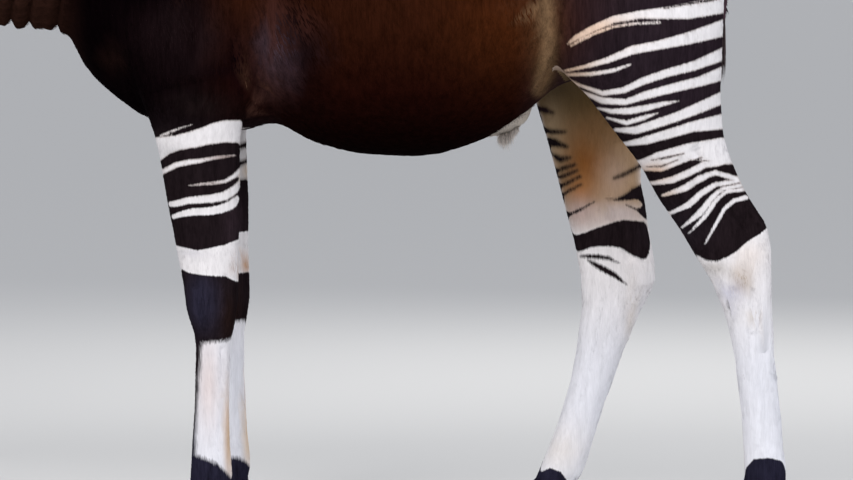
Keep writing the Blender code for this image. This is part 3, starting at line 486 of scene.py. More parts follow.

# %% [markdown]
# The legs' markings are the animal's signature. Each is a line with its width in pixels, read off the
# photograph, and a list of such steps paints a leg: pale stripes on the dark coat, dark ones over them, and
# everything above or below an edge. The outer sides come from the near legs and the inner sides from the far
# legs, which show theirs. A leg's plane is nearer to the middle at its foot, so it is given at a few pixel heights.

# %% Markings of the outer hind leg
OUTER_HIND_Y = ((-60, 60, 150, 250, 480), (-0.235, -0.235, -0.2, -0.155, -0.145))
OUTER_HIND = [
    ("pale", [(640, -84, 1), (672, -96, 4), (700, -103, 6), (724, -108, 6)]),
    ("pale", [(612, -48, 2), (650, -66, 5), (690, -77, 8), (726, -84, 9)]),
    ("pale", [(596, -20, 2), (630, -40, 6), (680, -53, 9), (728, -59, 12)]),
    ("pale", [(632, -12, 2), (662, -18, 5), (694, -25, 8), (728, -29, 10)]),
    ("pale", [(569, 44, 2), (576, 38, 5), (592, 29, 6.5), (613, 19.5, 7), (640, 14.5, 8), (667, 13, 12),
        (689, 11, 16), (728, 4, 18)]),
    ("dark", [(664, 8.5, 1.0), (686, 4, 2.0), (714, 0, 2.5), (724, -2, 1)]),
    ("pale", [(572, 46, 2), (582, 39.5, 3), (597, 32.5, 2.8), (613, 26.8, 2.4), (635, 23.5, 2.4), (660, 22.5, 2)]),
    ("pale", [(566, 71.5, 2.5), (586, 66.5, 4), (608, 60, 6), (632, 50, 8.5), (659, 45, 9), (689, 38.5, 12),
        (728, 28, 17)]),
    ("pale", [(568, 75.5, 3), (592, 74, 4), (613, 70.5, 4), (630, 64.5, 2)]),
    ("pale", [(563, 77, 2), (581, 86, 3), (603, 93.5, 5), (624, 90, 6), (643, 81, 7.5), (667, 73, 8),
        (695, 66, 9.5), (728, 54, 13)]),
    ("pale", [(584, 93, 3), (603, 101, 6.5), (626, 102, 6), (646, 95, 8), (673, 88, 9), (700, 82, 10),
        (728, 73.5, 14)]),
    ("pale", [(599, 109, 2), (612, 111.5, 5), (630, 111, 7), (646, 108, 6.5), (662, 104, 5), (679, 101, 1)]),
    ("pale", [(608, 118.5, 2), (627, 123, 5), (646, 117, 4.5), (658, 113, 1)]),
    ("pale", [(617, 130.5, 4), (636, 130.5, 8), (657, 123.5, 9), (679, 116, 9.5), (700, 108, 11), (728, 97.5, 12.5)]),
    ("pale", [(623, 145.5, 4), (646, 140.5, 8.5), (670, 133.5, 9.5), (692, 127, 10.5), (728, 122, 16)]),
    ("pale", [(637, 163, 4), (643, 166, 12), (660, 162, 20), (690, 151.5, 17), (723, 150.5, 24), (738, 152, 24)]),
    ("dark", [(652, 160.5, 0.6), (668, 157.5, 2.0), (684, 153.5, 0.6)]),
    ("dark", [(648, 167.5, 0.6), (662, 166.5, 1.6), (678, 160, 0.6)]),
    ("dark", [(641, 177, 3), (655, 178, 6), (667, 175, 6), (686, 165, 5), (702, 158, 1)]),
    ("pale", [(652, 184.5, 4), (673, 180, 7), (689, 173, 7), (705, 165, 7), (732, 161, 8), (740, 162, 8)]),
    ("dark", [(650, 189, 3), (673, 188.5, 5), (689, 181, 6), (705, 172.5, 5), (727, 167.5, 5), (741, 173, 11)]),
    ("pale", [(664, 196, 3), (686, 188, 7), (700, 179, 7), (716, 173, 5), (733, 178, 5), (744, 182, 5)]),
    ("dark", [(664, 202, 3), (684, 199.5, 4.5), (697, 187, 4.5), (711, 179.5, 4), (730, 182, 1)]),
    ("pale", [(671, 214, 3), (689, 205, 6), (702, 193, 6), (716, 185, 5), (745, 181, 4)]),
    ("pale", [(683, 228, 2), (700, 213, 6), (713, 197, 5), (724, 189, 4), (746, 186, 4)]),
    ("pale", [(689, 234, 1), (705, 217, 4), (716, 201, 4), (727, 192, 3.5), (750, 190, 4)]),
    ("pale", [(705, 244, 1), (716, 224, 3), (724, 210, 3.5), (735, 201, 4), (753, 197, 5)]),
    ("pale below", [(690, 252), (698, 256), (706, 260.5), (716, 261.5), (726, 257.5), (736, 251.5), (747, 242),
        (760, 235), (773, 226)]),
    ("dark below", [(738, 470), (748, 467), (754, 459.5), (769, 458), (784, 462), (792, 468)]),
]
print("steps to paint the outer hind leg", len(OUTER_HIND))

# %% Markings of the inner hind leg
INNER_HIND_Y = ((60, 250, 480), (0.05, 0.08, 0.085))
INNER_HIND = [
    ("pale all", []),
    ("dark above", [(520, 40), (560, 55), (640, 60), (700, 50)]),
    ("dark", [(536, 108, 3), (546, 111, 5), (553, 113, 1)]),
    ("dark", [(541, 130, 3), (552, 132.5, 3.5), (565, 132, 0.6)]),
    ("dark", [(546, 139, 3), (555, 143.5, 7), (567, 147, 1)]),
    ("dark", [(552, 156, 3), (561, 160, 5), (570, 158, 0.6)]),
    ("dark", [(554, 173, 3), (564, 169, 2.5), (575, 165, 0.5)]),
    ("dark", [(556, 180, 3), (566, 176, 2.5), (577, 171, 0.5)]),
    ("dark", [(559, 188, 3), (568, 183.5, 2.5), (580, 177, 0.5)]),
    ("dark", [(562, 197, 3), (570, 191, 2.5), (581, 185, 0.5)]),
    ("dark", [(566, 217, 3), (580, 210.5, 3), (594, 202, 0.8)]),
    ("dark", [(615, 178.5, 0.6), (627, 174, 2), (644, 166, 3)]),
    ("dark", [(614, 200.5, 1), (626, 198, 6), (636, 194.5, 12), (648, 193, 17)]),
    ("dark", [(626, 205, 0.6), (638, 210.5, 2.5), (650, 217, 5)]),
    ("dark band", [(570, 239), (585, 233), (597, 228), (610, 223.5), (624, 220), (636, 221.5), (650, 224)],
                  [(570, 257), (578, 253.5), (585, 250), (594, 247), (611, 246.3), (621, 248.3), (633, 256),
                      (643, 260), (660, 260)]),
    ("dark", [(576, 258, 2), (586, 256.5, 3.5), (596, 256.5, 5), (608, 258, 4), (619, 263, 0.8)]),
    ("dark", [(588, 260.5, 2), (601, 268, 6.5), (614, 274.8, 5.5), (627, 285, 1)]),
    ("dark below", [(530, 474), (542, 472), (550, 467.5), (561, 471.5), (566.5, 480), (572, 490)]),
]
print("steps to paint the inner hind leg", len(INNER_HIND))

# %% Markings of the forelegs
OUTER_FORE_Y = ((100, 250, 480), (-0.185, -0.16, -0.145))
OUTER_FORE = [
    ("pale band", [(150, 138.5), (155, 138), (175, 135.4), (188.5, 131.8), (203, 127), (213, 122.7), (225, 120.3),
        (244, 121)],
                  [(155, 162), (160, 161), (169, 154), (180, 150), (194.5, 147.6), (208, 144.5), (225, 142.7),
                      (244, 144)]),
    ("pale", [(160, 136, 2), (170, 132, 2.5), (180, 128, 1.6), (192, 124.5, 0.4)]),
    ("pale", [(160, 173, 5), (163, 171.8, 5), (176, 165, 5.2), (188.5, 162, 5.2), (198, 161, 4.6), (208, 159, 3.6),
        (219, 157.3, 3), (234, 156, 1.5)]),
    ("pale", [(188, 185.6, 0.6), (203, 184, 2.4), (213, 183.3, 3.2), (225, 181.5, 3.6), (234.5, 176, 4.6),
        (243, 168, 5)]),
    ("pale", [(165, 206, 4), (168.5, 205, 5), (176, 203.9, 6.3), (188.5, 200.4, 6.6), (201, 199.4, 7.6),
        (213, 198.4, 8.2), (225, 196, 8.8), (234.5, 190, 8.2), (244, 182, 8)]),
    ("pale", [(171, 218, 4), (181, 214.4, 5.6), (193, 211.8, 7), (208, 211.2, 7.6), (220, 209.3, 8.2),
        (230, 205.7, 8.6), (244, 196, 8)]),
    ("pale band", [(168, 245), (174.5, 246.3), (188.5, 248.7), (198, 250.5), (213, 247.5), (225, 245), (244, 238)],
                  [(172, 262), (179, 268.7), (188.5, 273), (200.6, 274.8), (215, 276), (225, 276.4), (231, 280),
                      (244, 287)]),
    ("pale below", [(190, 345), (201, 344), (213, 342.5), (230, 341), (244, 340)]),
    ("dark", [(196, 338, 14), (195.5, 348, 10.5), (194.5, 362, 11), (192.6, 387, 10), (191.5, 411, 9.6),
        (190, 436, 10), (188, 456, 14)]),
    ("dark below", [(186, 452), (196, 456), (208, 459.6), (217.5, 464.5), (225, 471.7), (231, 480), (240, 488)]),
]
INNER_FORE_Y = ((120, 300, 480), (0.055, 0.08, 0.085))
INNER_FORE = [
    ("pale band", [(170, 134), (205, 130), (260, 126)], [(170, 188), (205, 184), (235, 181), (260, 180)]),
    ("dark", [(170, 156, 4), (205, 151, 4), (238, 147.5, 4), (248, 145, 3)]),
    ("dark", [(170, 172, 3), (205, 168, 3.5), (238, 164.5, 3.5), (250, 161, 2)]),
    ("pale band", [(175, 239), (205, 236), (238, 233), (260, 231)], [(180, 276), (205, 276), (238, 273.5),
        (260, 272)]),
    ("pale below", [(190, 325), (215, 323), (238, 321), (260, 319)]),
    ("dark", [(214, 318, 10), (213, 362, 9), (211, 411, 9), (209, 456, 12)]),
    ("dark below", [(190, 452), (215, 456), (238, 457), (246, 462), (252, 472), (258, 480)]),
]
print("steps to paint the forelegs", len(OUTER_FORE), "outside and", len(INNER_FORE), "inside")

# %% [markdown]
# A pattern belongs to one leg, but the other leg of the pair needs it too, in its own pose. So a place on a
# leg is given by its height and by how far back it lies between the leg's front and rear edges, and the same
# share is looked up on the leg that the pattern was read from.

# %% Carrying a pattern from leg to leg
# Height, front edge and rear edge of each leg, in the drawing's own frame
FORE_EDGES = [
    (1.05, -0.198, 0.078), (0.86, -0.148, 0.082), (0.73, -0.099, 0.053), (0.627, -0.081, 0.0535),
        (0.464, -0.051, 0.049),
    (0.395, -0.036, 0.041), (0.365, -0.03, 0.0352), (0.264, -0.0325, 0.0325), (0.118, -0.041, 0.037),
        (0.03, -0.06, 0.024),
]
FORE_RIGHT_LEAN, LEAN_FROM = 0.04, 0.75
FAR_INSIDE = 0.05  # metres from every edge, where no marking is near


def right_lean(z):
    """How much further back the right foreleg lies than the left one at a height."""
    return FORE_RIGHT_LEAN * max(0, LEAN_FROM - z)


LEG_EDGES = {
    "front_left": FORE_EDGES,
    "front_right": [(z, front + right_lean(z), rear + right_lean(z)) for z, front, rear in FORE_EDGES],
    "hind_left": [
        (1.2, 0.63, 0.925), (1.08, 0.61, 0.932), (0.96, 0.615, 0.932), (0.88, 0.628, 0.93),
        (0.816, 0.685, 0.927), (0.753, 0.733, 0.932), (0.69, 0.781, 0.952), (0.63, 0.814, 0.982),
        (0.573, 0.853, 1.017), (0.52, 0.885, 1.023), (0.44, 0.928, 1.024), (0.33, 0.955, 1.031),
        (0.224, 0.9675, 1.0425), (0.121, 0.974, 1.0535), (0.03, 0.948, 1.033),
    ],
    "hind_right": [
        (1.2, 0.62, 0.915), (1.08, 0.595, 0.925), (0.96, 0.585, 0.915), (0.86, 0.585, 0.87), (0.79, 0.6, 0.83),
        (0.73, 0.618, 0.8), (0.66, 0.637, 0.796), (0.6, 0.652, 0.8055), (0.545, 0.667, 0.814),
        (0.465, 0.682, 0.824), (0.425, 0.684, 0.8045), (0.32, 0.671, 0.7615), (0.226, 0.648, 0.727),
        (0.15, 0.621, 0.703), (0.1, 0.6, 0.687), (0.03, 0.568, 0.65),
    ],
}


def leg_edges(leg, z):
    """Front and rear edge of a leg at each height, in the row's frame."""
    rows = np.array(LEG_EDGES[leg])[::-1]
    return tuple(np.interp(z, rows[:, 0], rows[:, side]) + ORIGIN.x for side in (1, 2))


def carried(x, z, leg, home):
    """The same places on the leg that a pattern was read from."""
    if leg == home:
        return x
    front, rear = leg_edges(leg, z)
    home_front, home_rear = leg_edges(home, z)
    return home_front + (x - front) / (rear - front) * (home_rear - home_front)


def painted(x, z, steps, y):
    """How far inside the pale parts of a pattern each place lies, in metres."""
    inside = np.full(len(x), -FAR_INSIDE)
    for kind, *lines in steps:
        paths = [traced(line, y) for line in lines if line]
        colour, _, area = kind.partition(" ")
        if area == "all":
            depth = np.full(len(x), FAR_INSIDE)
        elif area == "below":
            depth = under_line(x, z, paths[0])
        elif area == "above":
            depth = -under_line(x, z, paths[0])
        elif area == "band":
            depth = np.minimum(under_line(x, z, paths[0]), -under_line(x, z, paths[1]))
        else:
            depth = inside_stroke(x, z, paths[0])
        inside = np.maximum(inside, depth) if colour == "pale" else np.minimum(inside, -depth)
    return inside


print("edges known for the legs", list(LEG_EDGES))

# %% [markdown]
# Every place on the animal gets three facts: how far inside a pale marking it lies, the colour that the dark
# coat has there, and the colour that the pale coat has there. Keeping the edge as a distance, and not as a
# colour, lets the material draw it as sharp as hair does, however coarse the skin's mesh is.

# %% Colours of the coat
# Height and colour of the dark coat on the flank: near black below, chestnut above
FLANK_HEIGHTS = (0.7, 0.755, 0.83, 0.93, 1.05, 1.25, 1.48)
FLANK_COLOURS = (
    (0.0016, 0.0008, 0.0008), (0.0058, 0.0014, 0.0011), (0.0135, 0.0029, 0.0017), (0.0215, 0.0056, 0.0026),
    (0.028, 0.0078, 0.0034), (0.043, 0.0142, 0.007), (0.04, 0.0155, 0.009),
)
CHEST_COLOUR = (0.0018, 0.0007, 0.0011)
HAUNCH_COLOUR = (0.02, 0.013, 0.0175)
SHANK_DARK = (0.013, 0.0085, 0.01)
# Painted shade: the pale coat between belly and thighs, darkened to the cream's own hue.
GROIN_SHADE = (0.06, 0.04, 0.022)
FOOT_DARK = (0.017, 0.016, 0.03)
WHITE = (0.82, 0.79, 0.8)
COOL_WHITE = (0.76, 0.78, 0.86)
CREAM = (0.4, 0.265, 0.15)
STRIPE_SHADE, STRIPE_FRINGE = (0.06, 0.038, 0.026), (0.26, 0.16, 0.11)  # pale coat beside the dark marks
# Soft patches on the dark coat: pixel, reach in pixels, plane, colour, strength
DARK_PATCHES = [
    ((520, 20), (62, 58), TRUNK_Y, (0.056, 0.0145, 0.004), 0.85),
    ((545, 35), (16, 45), TRUNK_Y, (0.1, 0.045, 0.019), 0.7),
    ((547, 72), (9, 16), TRUNK_Y, (0.16, 0.105, 0.05), 0.6),
    ((300, 40), (24, 64), TRUNK_Y, (0.005, 0.002, 0.0022), 0.9),
    ((180, 40), (40, 34), ARM_Y, (0.018, 0.0095, 0.0105), 0.65),
    ((200, 105), (36, 12), ARM_Y, (0.013, 0.008, 0.008), 0.7),
    ((236, 62), (8, 34), ARM_Y, (0.001, 0.0005, 0.002), 0.9),
    # These two grey-violet patches behind the elbow are painted sheen, a highlight on the dark coat.
    ((272, 50), (15, 26), TRUNK_Y, (0.072, 0.046, 0.06), 0.85),
    ((290, 62), (9, 22), TRUNK_Y, (0.044, 0.025, 0.034), 0.7),
    ((270, 88), (13, 16), TRUNK_Y, (0.056, 0.024, 0.022), 0.8),
    ((110, 60), (10, 14), ARM_Y, (0.018, 0.008, 0.006), 0.6),
    ((612, 50), (30, 40), THIGH_Y, (0.013, 0.009, 0.012), 0.6),
    ((675, 230), (30, 24), SHIN_Y, (0.02, 0.015, 0.02), 0.6),
    # This blue-violet patch on the front of the knee is painted sheen on the near-black coat.
    ((202, 302), (15, 26), SHIN_Y, (0.029, 0.028, 0.052), 0.9),
    ((228, 318), (7, 24), SHIN_Y, (0.021, 0.0105, 0.0085), 0.8),
    ((232, 225), (8, 26), SHIN_Y, (0.033, 0.021, 0.027), 0.7),
]
# Streaks: line, plane, how far its edge fades in metres, colour
DARK_STREAKS = [
    ([(271, -36, 4), (268, 0, 6), (270, 20, 6), (272, 38, 3)], TRUNK_Y, 0.006, (0.048, 0.015, 0.0095)),
    ([(246.5, 80, 1.5), (247.5, 85, 3.5), (249, 89, 1.5)], ARM_Y, 0.004, (0.12, 0.062, 0.038)),
    ([(247, 114, 2), (254, 104, 4), (262, 95, 4), (268, 86, 2)], TRUNK_Y, 0.006, (0.07, 0.03, 0.022)),
    ([(556, -40, 9), (546, 10, 9), (550, 40, 9), (549, 68, 8), (541, 92, 6)], TRUNK_Y, 0.016, (0.185, 0.11, 0.058)),
]
# Soft patches on the pale coat of the outer sides
PALE_PATCHES = [
    ((570, 60), (26, 70), THIGH_Y, (0.66, 0.44, 0.29), 0.85),
    ((600, 30), (34, 16), THIGH_Y, (0.76, 0.54, 0.4), 0.85),
    ((655, 172), (16, 9), SHIN_Y, (0.6, 0.37, 0.22), 0.75),
    ((668, 196), (12, 8), SHIN_Y, (0.66, 0.47, 0.32), 0.6),
    ((742, 279), (10, 13), SHIN_Y, (0.36, 0.26, 0.17), 0.95),
    ((732, 292), (10, 9), SHIN_Y, (0.52, 0.52, 0.66), 0.7),
    ((754, 316), (8, 6), SHIN_Y, (0.62, 0.54, 0.46), 0.55),
    ((716, 268), (14, 6), SHIN_Y, (0.46, 0.42, 0.38), 0.6),
    ((750, 255), (16, 14), SHIN_Y, (0.82, 0.72, 0.66), 0.6),
    ((228, 432), (4, 46), SHIN_Y, (0.6, 0.36, 0.17), 0.95),
    ((208, 385), (12, 44), SHIN_Y, (0.72, 0.58, 0.54), 0.6),
    ((234, 269), (5, 5), SHIN_Y, (0.45, 0.33, 0.28), 0.7),
    ((176, 152), (16, 6), SHIN_Y, (0.5, 0.49, 0.5), 0.75),
    ((176, 186), (12, 6), SHIN_Y, (0.3, 0.27, 0.27), 0.9),
    ((225, 157), (20, 3), SHIN_Y, (0.42, 0.32, 0.31), 0.85),
    ((210, 183), (16, 3), SHIN_Y, (0.5, 0.43, 0.42), 0.75),
    ((190, 253), (14, 4), SHIN_Y, (0.6, 0.58, 0.62), 0.7),
    ((745, 379), (2, 6), SHIN_Y, (0.45, 0.42, 0.42), 0.6),
]
# The same on the inner sides
INNER_PATCHES = [
    # The first three are painted shade: the top of the inner thigh and the groin under the belly, darkened to the
    # cream's own hue.
    ((600, 100), (80, 36), 0.05, (0.11, 0.074, 0.032), 0.95),
    ((543, 82), (30, 22), 0.0, (0.018, 0.012, 0.007), 1.0),
    ((572, 66), (34, 20), 0.0, (0.04, 0.027, 0.013), 1.0),
    ((586, 162), (25, 38), 0.07, (0.26, 0.09, 0.018), 0.92),
    ((604, 130), (18, 22), 0.07, (0.24, 0.13, 0.056), 0.75),
    ((580, 190), (12, 16), 0.07, (0.44, 0.18, 0.056), 0.8),
    ((616, 178), (16, 24), 0.07, (0.48, 0.34, 0.26), 0.75),
    ((552, 150), (10, 40), 0.07, (0.52, 0.39, 0.25), 0.6),
    ((618, 214), (30, 12), 0.07, (0.56, 0.48, 0.47), 0.85),
    ((580, 214), (18, 16), 0.07, (0.52, 0.39, 0.36), 0.8),
    ((632, 330), (6, 40), 0.08, (0.74, 0.62, 0.5), 0.5),
    ((560, 450), (26, 26), 0.08, (0.76, 0.68, 0.6), 0.5),
    ((247, 265), (6, 9), 0.08, (0.5, 0.24, 0.09), 0.9),
    ((246, 172), (5, 9), 0.06, (0.66, 0.5, 0.34), 0.7),
    ((248, 440), (5, 30), 0.08, (0.68, 0.48, 0.28), 0.8),
]
print("soft patches", len(DARK_PATCHES) + len(PALE_PATCHES) + len(INNER_PATCHES), "and streaks", len(DARK_STREAKS))

# %% [markdown]
# Tints are laid one over the other as a painter would. Each moves the colour that is there some way towards a
# new one, and how far is a share between 0 and 1 for each place. A slow wave, made of sines, keeps the edges
# from being too even.

# %% Laying tints


def tint(colours, weight, colour):
    """Moves an array of colours towards one colour, each by its own weight."""
    colours += np.clip(weight, 0, 1)[:, None] * (np.array(colour) - colours)


def add_patches(colours, x, z, patches):
    """Soft round patches of another colour."""
    for (px, py), (reach_x, reach_z), plane, colour, strength in patches:
        centre_x, centre_z = seen_at(px, py, plane)
        spread = ((x - centre_x) / (reach_x * PIXEL)) ** 2 + ((z - centre_z) / (reach_z * PIXEL)) ** 2
        tint(colours, strength * np.exp(-spread), colour)


def wander(points, scale, seed):
    """A slow smooth wave through space, between -1 and 1, with no texture needed."""
    x, y, z = (points * scale).T
    first = np.sin(1.7 * x + 2.1 * z + seed) * np.sin(2.3 * y - 1.1 * z + 2 * seed)
    second = np.sin(3.1 * z - 2.2 * x + 3 * seed) * np.sin(2.9 * x + 1.3 * y + seed)
    return 0.6 * first + 0.4 * second


def leg_share(points, pair):
    """Which places belong to the fore or the hind legs, haunch included."""
    x, y, z = points.T
    if pair == "front":
        return (x > -0.16) & (x < 0.185) & (z < 0.9) & (np.abs(y) > 0.02)
    front = np.where(y < 0, leg_edges("hind_left", z)[0], leg_edges("hind_right", z)[0]) - 0.015
    inner = (z < 0.8) | ((z < 0.9) & (np.abs(y) < 0.12))
    thigh_front = np.where(inner, front, 0.6 + 0.05 * np.abs(z - 0.9))
    return (z < 1.3) & (x > thigh_front) & ((np.abs(y) > 0.035) | (z > 0.9))


print("points on the legs", sum(int(leg_share(coordinates(skin.data), pair).sum()) for pair in ("front", "hind")))

# %% [markdown]
# The face has a pale cheek that runs on under the throat, a chestnut brow, a muzzle that grows darker to the
# nose, and dark ears. Bare skin, almost black, shows round the eyes, in the nostrils and along the mouth.

# %% Markings of the head
# The upper border of the cheek: along the head, and up
CHEEK_EDGE = [
    (-0.12, -0.06), (-0.04, -0.012), (0.04, 0.004), (0.12, 0.006), (0.168, 0.008),
    (0.22, 0.018), (0.28, 0.012), (0.325, -0.012), (0.36, -0.06),
]
CHEEK_COLOUR, CHEEK_BORDER = (0.42, 0.37, 0.31), (0.115, 0.072, 0.05)
BESIDE_CHEEK, CHIN = (0.085, 0.05, 0.034), (0.2, 0.165, 0.14)
FACE, BROW = (0.06, 0.0225, 0.0135), (0.085, 0.03, 0.016)
MUZZLE, NOSE, EAR = (0.019, 0.0125, 0.0115), (0.0095, 0.0075, 0.0075), (0.018, 0.0105, 0.009)
BARE_SKIN = (0.01, 0.0065, 0.006)
# Bare skin round the eye, in its front corner and in the nostril: place on the head, and reach along and up
BARE_PLACES = [
    ((0.17, 0.03, 0.04), (0.027, 0.0195)),
    ((0.206, 0.03, 0.028), (0.014, 0.006)),
    ((0.447, 0.01, 0.006), (0.0085, 0.0085)),
]


def head_marks(points, inside, dark, pale):
    """The pale cheek and throat, the chestnut brow, the dark muzzle and ears."""
    along, out, up = in_head(points)
    head = step(-0.1, -0.02, along) * (up > -0.25)
    edge = np.interp(along, *zip(*CHEEK_EDGE)) - up
    edge = np.minimum(edge, 0.05 + 0.004 * wander(points, 60, 3.0))
    edge = np.minimum(edge, along + 0.055 + 0.012 * wander(points, 26, 1.0))
    cheek = (head > 0.0) & (out < 0.11) & ~((points[:, 2] > 1.235) & (out > 0.055))
    inside[cheek] = np.maximum(inside[cheek], edge[cheek] * 0.35)
    tint(pale, head * (along > -0.2), CHEEK_COLOUR)
    border = cheek & (along < 0.2)
    tint(pale, border * 0.85 * step(0.04, 0.0, edge) * step(0.2, 0.12, along), CHEEK_BORDER)
    tint(dark, 0.7 * bell(edge, 0.03) * head * (along < 0.16) * (up < 0.02), BESIDE_CHEEK)
    tint(pale, head * step(0.26, 0.34, along), CHIN)
    tint(dark, head, FACE)
    tint(dark, head * bell(up - 0.07, 0.04) * bell(along - 0.2, 0.1), BROW)
    tint(dark, head * step(0.29, 0.37, along), MUZZLE)
    tint(dark, head * step(0.42, 0.455, along), NOSE)
    bare_places = [bell(depth_on_head(along, up, MOUTH), 0.003) * head]
    for place, reach in BARE_PLACES:
        far = np.hypot((along - place[0]) / reach[0], (up - place[2]) / reach[1])
        bare_places.append(step(1.3, 0.7, far) * (out > place[1]))
    for share in bare_places:
        tint(dark, share, BARE_SKIN)
        tint(pale, share, BARE_SKIN)
    tint(dark, step(1.225, 1.25, points[:, 2]) * step(0.055, 0.075, out) * (points[:, 0] < -0.5), EAR)


print("places of bare skin", len(BARE_PLACES), "and the mouth")

# %% [markdown]
# Now all tints come together, from the large to the small: the trunk from back to belly, then chest and
# haunch, soft patches and streaks, the legs, the head and the pad on the belly. Last, the edges of the
# markings are softened where dirt or thin hair blurs them.

# %% The whole coat
# The pattern of a leg's outer and of its inner side, each with its plane
LEG_PATTERNS = {
    "front": (OUTER_FORE, OUTER_FORE_Y, INNER_FORE, INNER_FORE_Y),
    "hind": (OUTER_HIND, OUTER_HIND_Y, INNER_HIND, INNER_HIND_Y),
}
NECK_COLOUR, TAIL_COLOUR_AND_SHEEN, PAD_COLOUR = (0.024, 0.01, 0.007), (0.085, 0.048, 0.062), (0.56, 0.5, 0.44)


def on_belly_pad(points):
    """Below 1 inside the pad on the belly, 1 on its surface and more outside; and how far up in it a place lies."""
    place, radii, slope = BELLY_PAD
    offset = points - np.array(ORIGIN + Vector(place))
    along = offset[:, 0] * math.cos(slope) + offset[:, 2] * math.sin(slope)
    up = offset[:, 2] * math.cos(slope) - offset[:, 0] * math.sin(slope)
    return np.sqrt((along / radii[0]) ** 2 + (offset[:, 1] / radii[1]) ** 2 + (up / radii[2]) ** 2), up / radii[2]


def leg_marks(points, normals, inside, pale, pair, word):
    """The stripes and tints of one leg: its outer and its inner side, and a blend where they meet."""
    outer, outer_y, inner, inner_y = LEG_PATTERNS[pair]
    leg = pair + "_" + word
    mine = leg_share(points, pair) & (points[:, 1] * dict(SIDES)[word] > 0)
    x, y, z = points[mine].T
    outer_sway = 0.007 * (word == "right") * wander(points[mine], 9.0, 1.3)
    inner_sway = 0.006 * (word == "left") * wander(points[mine], 9.0, 2.1)
    outer_x = carried(x, z, leg, pair + "_left")
    inner_x = carried(x, z, leg, pair + "_right")
    outside = painted(outer_x, z + outer_sway, outer, outer_y)
    within = painted(inner_x, z + inner_sway, inner, inner_y)
    middle = np.interp(z, (0.4, 0.75, 0.95), (0.115, 0.128, 0.135))
    behind = step(0.25, 0.75, normals[mine, 0]) * step(0.72, 0.85, z) * (pair == "hind")
    share = step(-0.022, 0.018, np.abs(y) - middle + 0.09 * behind)
    inside[mine] = within * (1 - share) + outside * share
    shade = pale[mine]
    tint(shade, (1 - share) * step(0.54, 0.62, z) * (pair == "hind"), CREAM)
    outer_shade, inner_shade = shade.copy(), shade
    add_patches(outer_shade, outer_x, z, PALE_PATCHES)
    add_patches(inner_shade, inner_x, z, INNER_PATCHES)
    high = step(0.6, 0.66, z)
    tint(inner_shade, 0.62 * step(0.0075, 0.0, within) * high, STRIPE_SHADE)
    tint(outer_shade, 0.4 * step(0.003, 0.0, outside) * high, STRIPE_FRINGE)
    pale[mine] = inner_shade * (1 - share)[:, None] + outer_shade * share[:, None]


def coat_facts(points, normals):
    """How far inside a pale marking each place lies, and its dark and pale colours."""
    x, y, z = points.T
    inside = np.full(len(points), -FAR_INSIDE)
    dark = np.stack([np.interp(z, FLANK_HEIGHTS, [c[k] for c in FLANK_COLOURS]) for k in range(3)], axis=1)
    pale = np.tile(np.array(WHITE), (len(points), 1))
    tint(dark, step(0.13, 0.02, x) * step(1.3, 1.02, z) * step(-0.3, -0.2, x), CHEST_COLOUR)
    tint(dark, step(-0.16, -0.26, x), NECK_COLOUR)
    tint(dark, step(0.6, 0.7, x) * step(1.42, 1.25, z), HAUNCH_COLOUR)
    legs = leg_share(points, "front") | leg_share(points, "hind")
    tint(dark, np.maximum(step(0.72, 0.66, z), legs * step(0.8, 0.73, z)), SHANK_DARK)
    tint(dark, step(0.24, 0.18, z), FOOT_DARK)
    add_patches(dark, x, z, DARK_PATCHES)
    for line, plane, fade, colour in DARK_STREAKS:
        tint(dark, step(-fade, fade / 3, inside_stroke(x, z, traced(line, plane))) * 0.9, colour)
    # The tail is dark brown, with a painted purple sheen mixed into its colour.
    tint(dark, step(0.965, 0.985, x) * (np.abs(y) < 0.05) * step(1.3, 1.2, z), TAIL_COLOUR_AND_SHEEN)
    tint(pale, step(0.5, 0.3, z) * 0.6, COOL_WHITE)
    for pair in LEG_PATTERNS:
        for word, _ in SIDES:
            leg_marks(points, normals, inside, pale, pair, word)
    # Painted shade in the groin, where the belly meets the thighs.
    tint(pale, ~legs * (x > 0.5) * (z < 0.95), GROIN_SHADE)
    head_marks(points, inside, dark, pale)
    pad, pad_up = on_belly_pad(points)
    inside = np.maximum(inside, 0.01 * np.minimum(1.25 - pad, -pad_up))
    tint(pale, step(1.6, 1.2, pad), PAD_COLOUR)
    fore_shin, hock = step(0.45, 0.38, z) * (x < 0.3), bell(z - 0.5, 0.05) * (x > 0.6)
    inner_thigh = bell(z - 0.69, 0.12) * step(0.12, 0.09, np.abs(y)) * (x > 0.6)
    soft = np.maximum(fore_shin * 0.7 + hock * 0.45, 0.6 * inner_thigh)
    return inside * (1 - soft), dark, pale


print("legs with patterns of their own", 2 * len(LEG_PATTERNS))

# %% [markdown]
# The fused skin has more than half a million points. It is thinned to what is needed: the points stay dense
# along the edges of the markings, on the ears and tail, and round the eyes, nostrils and mouth, and grow sparse
# on the trunk.

# %% Thinning the skin
SKIN_FACETS = 190_000
EDGE_BREADTH = 0.0045
# Eye, nostril and mouth: place on the head, and reach
FEATURES = [((0.168, 0.06, 0.04), 0.042), ((0.452, 0.02, 0.004), 0.03), ((0.42, 0.03, -0.028), 0.04)]


